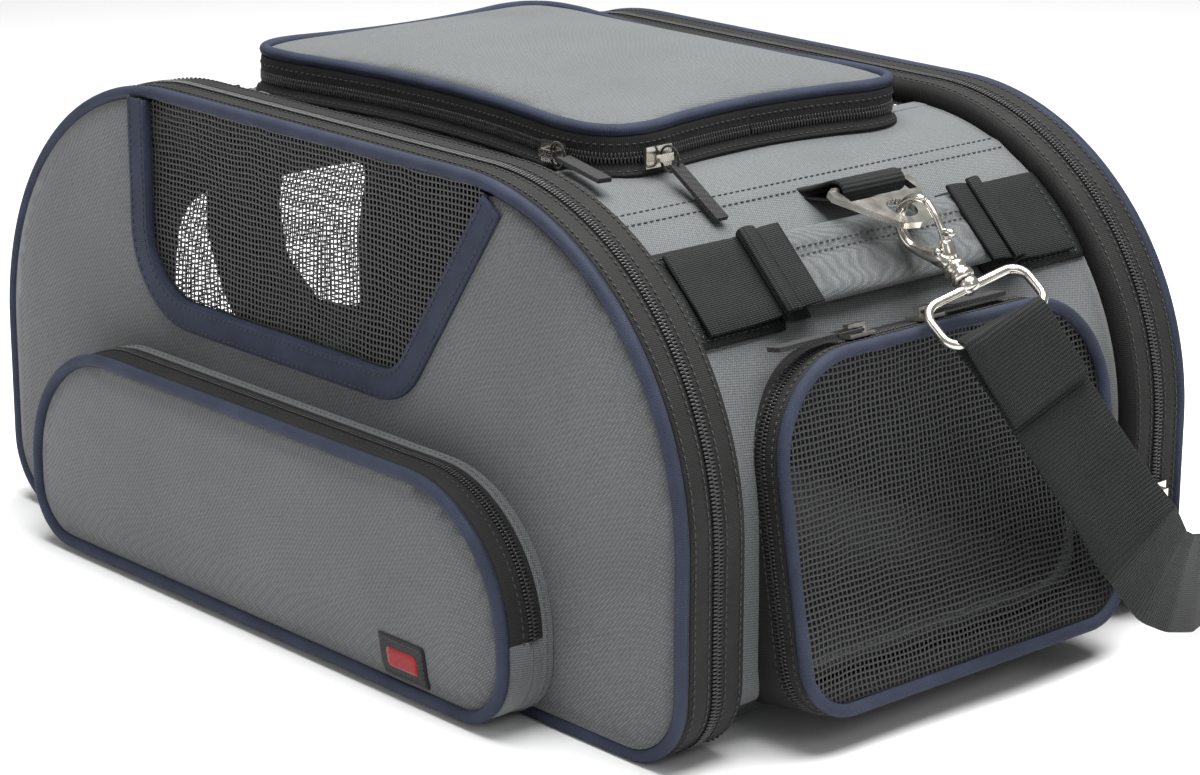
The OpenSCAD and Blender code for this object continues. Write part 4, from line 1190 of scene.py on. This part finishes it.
def handle(side, sign):
    along, up_slope, out = shoulder_axes(sign)
    centre = SHOULDER_AT * (sign, 1, 1)
    body = side + "_handle"

    def at(u, v, w):
        return centre + along * u + up_slope * v + out * w

    stations = np.linspace(-1, 1, 61)
    angles = np.linspace(0, 2 * math.pi, 40, endpoint=False)
    seed = 61.0 if sign > 0 else 71.0
    rows = []
    for t in stations:
        end = max(0.0, (abs(t) - 0.86) / 0.14)
        half_w = GRIP_W / 2 * (1 - 0.05 * end)
        half_t = GRIP_T / 2 * (1 - 0.42 * end ** 1.5)
        u = t * GRIP_L / 2
        row = []
        for a in angles:
            c, s = math.cos(a), math.sin(a)
            y = half_w * math.copysign(abs(c) ** 0.62, c)
            z = half_t * math.copysign(abs(s) ** 0.8, s)
            seam = 1.3 * MM * math.exp(-((y - 5 * MM) / (1.6 * MM)) ** 2) * (s > 0)
            soft = 0.7 * MM * noise.fractal(Vector((u / 0.022 + seed, y / 0.013, s)), 1.0, 2.0, 3)
            z += (soft - seam) * abs(s)
            row.append(at(u, y, GRIP_T / 2 + 1.0 * MM + z))
        rows.append(row)
    n, k = len(stations), len(angles)
    verts = [v for row in rows for v in row]
    faces = [(i * k + j, (i + 1) * k + j, (i + 1) * k + (j + 1) % k, i * k + (j + 1) % k)
             for i in range(n - 1) for j in range(k)]
    faces += [tuple(range(k)), tuple((n - 1) * k + j for j in reversed(range(k)))]
    grip = finish_mesh(side + "_grip", verts, faces, GREY, body, replaces=[side + "_handle_grip"],
                       slot="light_fabric")
    for j, v in enumerate((3.4 * MM, 6.8 * MM)):
        line = [at(t * GRIP_L / 2 * 0.97, v, GRIP_T + 0.75 * MM) for t in stations]
        run = (np.array(line), np.tile(up_slope, (n, 1)), np.tile(out, (n, 1)))
        stitches(f"{side}_grip_stitch_{j}", run, 0, 0, body, mat=GREY_THREAD)

    for e, end in enumerate((-1, 1)):
        path = [(100, 2.6), (88, 2.7), (76, 3.2), (68, 4.6), (61, 6.6), (56, 8.8), (50, 9.3), (46.5, 9.4)]
        line = smooth_run([at(end * u * MM, 0, w * MM) for u, w in path], 2 * MM)
        strap, run = ribbon(f"{side}_handle_end_{e}", line, np.tile(up_slope * end, (len(line), 1)), 36 * MM,
                            1.7 * MM,
                            WEB, None, replaces=[side + "_handle_webbing"])
        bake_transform(strap)
        wrap = [(58.5, 9.2), (62.5, 10.6), (66, 9.4), (65, 6.4), (60, 3.0), (54, 1.2), (48, 0.4)]
        line = smooth_run([at(end * u * MM, 0, w * MM) for u, w in wrap], 1.5 * MM)
        ribbon(f"{side}_handle_fold_{e}", line, np.tile(up_slope * end, (len(line), 1)), 38 * MM, 1.6 * MM,
               WEB, body)
        patch(side, sign, e, end)


handle("right", 1)
handle("left", -1)


# ---- strap rings and snap hooks ----

HANG_Y = 6 * MM
BAR = np.array([166, 6, 189.5]) * MM
RING_DIP, HOOK_DIP, TURN = math.radians(20), math.radians(36), math.radians(20)
RING_EYE, LOOP_R, HOOK_L = 19 * MM, 10 * MM, 30 * MM
DEE_L, DEE_W, DEE_R = 20 * MM, 23 * MM, 1.9 * MM
HOOK_AT = BAR + np.array([math.cos(RING_DIP), 0, -math.sin(RING_DIP)]) * (RING_EYE + LOOP_R)


def tipped(origin, dip, sign, turn=0.0):
    """Local x down the hardware, y across it and z out of it, on the right (1) or the left (-1)."""
    x = np.array([math.cos(dip), 0, -math.sin(dip)])
    z = np.array([math.sin(dip), 0, math.cos(dip)])
    y = np.array([0, 1.0, 0])
    y, z = y * math.cos(turn) + z * math.sin(turn), z * math.cos(turn) - y * math.sin(turn)
    flip = np.array([sign, 1, 1])
    axes = np.stack([x, y, z])
    return lambda p: (np.asarray(p, float) @ axes + origin) * flip


def hardware(side, sign):
    at = tipped(HOOK_AT, HOOK_DIP, sign)
    across = (0, 1, 0)
    hook = side + "_hook"
    arc = np.radians(np.linspace(112, 292, 44))
    loop = np.stack([LOOP_R * np.cos(arc), 0 * arc, LOOP_R * np.sin(arc)], axis=1)
    neck = [(x * MM, 0, z * MM) for x,
            z in ((6.6, -7.8), (9.4, -6.3), (12, -4.6), (14.4, -2.9), (16.6, -1.4), (18.8, -0.4),
                                             (21, 0), (22.6, 0))]
    line = np.vstack([loop, neck])
    thick = np.interp(np.linspace(0, 1, len(loop)), [0, 0.08, 0.6, 1], [1.5, 2.1, 2.3, 2.6]) * MM
    radii = np.concatenate([thick, np.array([2.9, 3.3, 3.8, 4.4, 4.9, 5.0, 4.2, 3.3]) * MM])
    body = tube(side + "_hook_body", at(line), radii, across, NICKEL, hook, squash=0.8,
                replaces=[side + "_snap_hook"])
    smooth = body.modifiers.new("cast_form", "SUBSURF")
    smooth.levels = smooth.render_levels = 1
    collar = [(21.5, 3.1), (22.3, 4.6), (23.2, 4.9), (24.2, 4.9), (25.0, 4.2), (26.4, 4.2), (27.2, 4.9),
              (28.6, 4.9),
              (29.4, 4.5), (29.8, 3.6)]
    tube(side + "_hook_collar", at([(x * MM, 0, 0) for x, r in collar]), [r * MM for x, r in collar], across,
         NICKEL, hook,
         sides=24)
    for k, s in enumerate((-1, 1)):
        rivet = [(15.5 * MM, s * y * MM, 1.4 * MM) for y in (3.0, 4.4, 4.9, 5.1)]
        tube(f"{side}_hook_rivet_{k}", at(rivet), [1.5 * MM, 1.5 * MM, 1.1 * MM, 0.4 * MM], (0, 0, 1), NICKEL,
             hook)
    cheek = [(20 * MM, 0, 0.6 * MM), (17.6 * MM, 0, 2.2 * MM), (14.8 * MM, 0, 3.9 * MM),
             (12.2 * MM, 0, 5.0 * MM)]
    tube(side + "_hook_cheek", at(cheek), [3.2 * MM, 3.2 * MM, 2.8 * MM, 1.9 * MM], across, NICKEL, hook,
         squash=0.8)
    foot = np.array([12.4, 0, 5.2]) * MM
    nose = np.array([LOOP_R * math.cos(math.radians(106)), 0, LOOP_R * math.sin(math.radians(106))])
    swell = np.array([0, 0, 0.9 * MM])
    line = [foot + (nose - foot) * t + swell * math.sin(math.pi * t) for t in np.linspace(-0.12, 1, 16)]
    radii = np.interp(np.linspace(0, 1, 16), [0, 0.15, 0.6, 1], [2.2, 2.0, 1.6, 1.5]) * MM
    tube(side + "_gate_bar", at(line), radii, across, NICKEL, side + "_gate", squash=0.85,
         replaces=[side + "_hook_gate"])
    lever = [foot + np.array(p) * MM for p in ((-1.5, 0, 1.0), (-0.5, 0, 2.4), (1.0, 0, 3.6), (2.6, 0, 4.2))]
    tube(side + "_gate_lever", at(lever), [1.6 * MM, 1.8 * MM, 1.7 * MM, 1.2 * MM], across, NICKEL,
         side + "_gate")

    swivel = side + "_swivel"
    turned = tipped(HOOK_AT, HOOK_DIP, sign, TURN)
    near, far = HOOK_L + 3.2 * MM, HOOK_L + DEE_L + 3 * MM
    shape = [(near, 0)]
    shape += bow(near + 7 * MM, DEE_W - 7 * MM, 7 * MM, 180, 90, 12)
    shape += bow(far - 6 * MM, DEE_W - 6 * MM, 6 * MM, 90, 0, 12)
    shape += bow(far - 6 * MM, -DEE_W + 6 * MM, 6 * MM, 0, -90, 12)
    shape += bow(near + 7 * MM, -DEE_W + 7 * MM, 7 * MM, 270, 180, 12)
    ring = even(shape, 1.5 * MM)
    ring3 = np.stack([ring[:, 0], ring[:, 1], 0 * ring[:, 0]], axis=1)
    out_of = turned((0, 0, 1)) - turned((0, 0, 0))
    tube(side + "_dee", turned(ring3), DEE_R, out_of.ravel() / np.linalg.norm(out_of), NICKEL, swivel,
         closed=True,
         replaces=[side + "_swivel_ring"])
    barrel = [(30.3, 3.2), (31.0, 4.0), (32.4, 4.2), (34.2, 3.9), (35.4, 2.6)]
    tube(side + "_barrel", turned([(x * MM, 0, 0) for x, r in barrel]), [r * MM for x, r in barrel], across,
         NICKEL, swivel,
         sides=24)

    bevelled(side + "_strap_ring", NICKEL, 0.7 * MM)

    span = 34 * MM
    path = [(143, 186.3), (147, 186.4), (153, 188.6), (160, 191.8), (164, 193.3), (167.2, 193.1),
            (169.4, 191.0),
            (169.6, 188.2), (167.4, 186.0), (163.6, 185.6), (157, 184.6), (150, 184.0), (146, 183.4)]
    line = smooth_run([np.array([sign * x * MM, HANG_Y, z * MM]) for x, z in path], 1.2 * MM, 2)
    ribbon(side + "_ring_loop", line, np.tile((0, 1, 0), (len(line), 1)), span, 1.5 * MM, WEB, "shell",
                    replaces=["ring_loops"])


hardware("right", 1)
hardware("left", -1)


# ---- shoulder strap ----

STRAP_W, STRAP_T = 39 * MM, 2 * MM
to_swivel = tipped(HOOK_AT, HOOK_DIP, 1, TURN)
dee_bar = to_swivel((HOOK_L + DEE_L + 3 * MM, 0, 0)).ravel()
bar_way = to_swivel((HOOK_L + DEE_L + 3 * MM, 1 * MM, 0)).ravel() - dee_bar
bar_way /= np.linalg.norm(bar_way)
turn_at = np.array([292, 40, 56]) * MM
drop = (turn_at - dee_bar) / np.linalg.norm(turn_at - dee_bar)
off = np.cross(bar_way, drop)
off /= np.linalg.norm(off)
upright = np.array([0, 0, 1.0])


def strap_front():
    wrap = [dee_bar + drop * 34 * MM - off * 1.6 * MM, dee_bar + drop * 12 * MM - off * 2.4 * MM]
    for a in np.linspace(-90, -270, 9):
        r = 3.2 * MM
        wrap.append(dee_bar + drop * r * math.cos(math.radians(a)) + off * r * math.sin(math.radians(a)))
    wrap.append(dee_bar + drop * 12 * MM + off * 2.4 * MM)
    wrap += [dee_bar + drop * d * MM + off * 1.1 * MM for d in (26, 45, 70, 95)]
    corner = np.array([[281, 52, 51], [277, 68, 43], [262, 98, 32], [246, 124, 24], [232, 144, 22]]) * MM
    points = wrap + [turn_at - drop * 17 * MM] + list(corner)
    line = smooth_run(points, 2 * MM, 2)
    count = len(line)
    run = np.concatenate([[0], np.cumsum(np.linalg.norm(np.diff(line, axis=0), axis=1))])
    total = run[-1]
    fold = np.argmin(np.linalg.norm(line - turn_at, axis=1))
    stop = run[fold] / total
    lean = bar_way * 0.45 + upright * 0.9
    sides = spread([bar_way, bar_way, lean, upright, upright],
                   [0, stop - 0.1, stop + 0.03, min(stop + 0.22, 0.97), 1], count)
    strap, frames = ribbon("strap_front_run", line, sides, STRAP_W, STRAP_T * 0.8, WEB, "strap_front",
                           replaces=["strap_front"])
    at, side, up = frames
    for k, d in enumerate((24, 30)):
        i = int(np.argmin(np.abs(run - (46 + d) * MM)))
        line2 = np.array([at[i] + side[i] * t * STRAP_W for t in np.linspace(-0.42, 0.42, 12)])
        along = np.gradient(at, axis=0)[i]
        across = (line2, np.tile(along / np.linalg.norm(along), (12, 1)), np.tile(up[i], (12, 1)))
        stitches(f"strap_loop_stitch_{k}", across, 0, STRAP_T * 0.45, "strap_front")


def strap_rear():
    left_bar = dee_bar * (-1, 1, 1)
    points = np.array([[232, 145, 23], [229, 158, 13], [220, 165, 5], [205, 166, 1.8], [120, 166, 1.8],
                       [0, 166, 1.8],
                       [-120, 166, 1.8], [-200, 166, 1.8], [-218, 164, 5], [-229, 156, 14], [-238, 120, 23],
                       [-245, 70, 26], [-245, 40, 36], [-241, 12, 70], [-238, 2, 105]]) * MM
    points = np.vstack([points, [left_bar - (0, 0, 0.006)]])
    line = smooth_run(points, 4 * MM, 3)
    flat = np.array([0, 1.0, 0])
    up_left = np.array([0.15, 0.95, 0.2])
    length = np.concatenate([[0], np.cumsum(np.linalg.norm(np.diff(points, axis=0), axis=1))])
    stops = length / length[-1]
    right_corner, left_corner = np.array([0.5, 0.85, 0]), np.array([-0.5, 0.85, 0])
    turns = [upright, upright * 0.3 + right_corner * 0.9, right_corner] + [flat] * 5
    turns += [left_corner, upright * 0.35 + left_corner * 0.9, upright * 0.8 + flat * 0.4, upright,
              upright * 0.8 + flat * 0.5, flat, up_left, up_left]
    sides = spread(turns, stops, len(line))
    strap, frames = ribbon("strap_rear_run", line, sides, STRAP_W, STRAP_T * 0.8, WEB, "strap_rear",
                           replaces=["strap_rear"])


strap_front()
strap_rear()


# ---- the pocket's pieces each get their own copy of their mesh ----

for piece in POCKET_PIECES:
    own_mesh(bpy.data.objects[piece])


# ---- zip sliders and pulls ----

SLIDERS = ["lid_zip_slider_front", "lid_zip_slider_end", "door_zip_slider_front", "door_zip_slider_rear",
           "pocket_zip_slider", "front_zip_slider", "rear_zip_slider"]
for node in SLIDERS:
    bevelled(node, NICKEL, 0.5 * MM)
    bevelled(node.replace("slider", "pull"), PULL, 0.45 * MM)
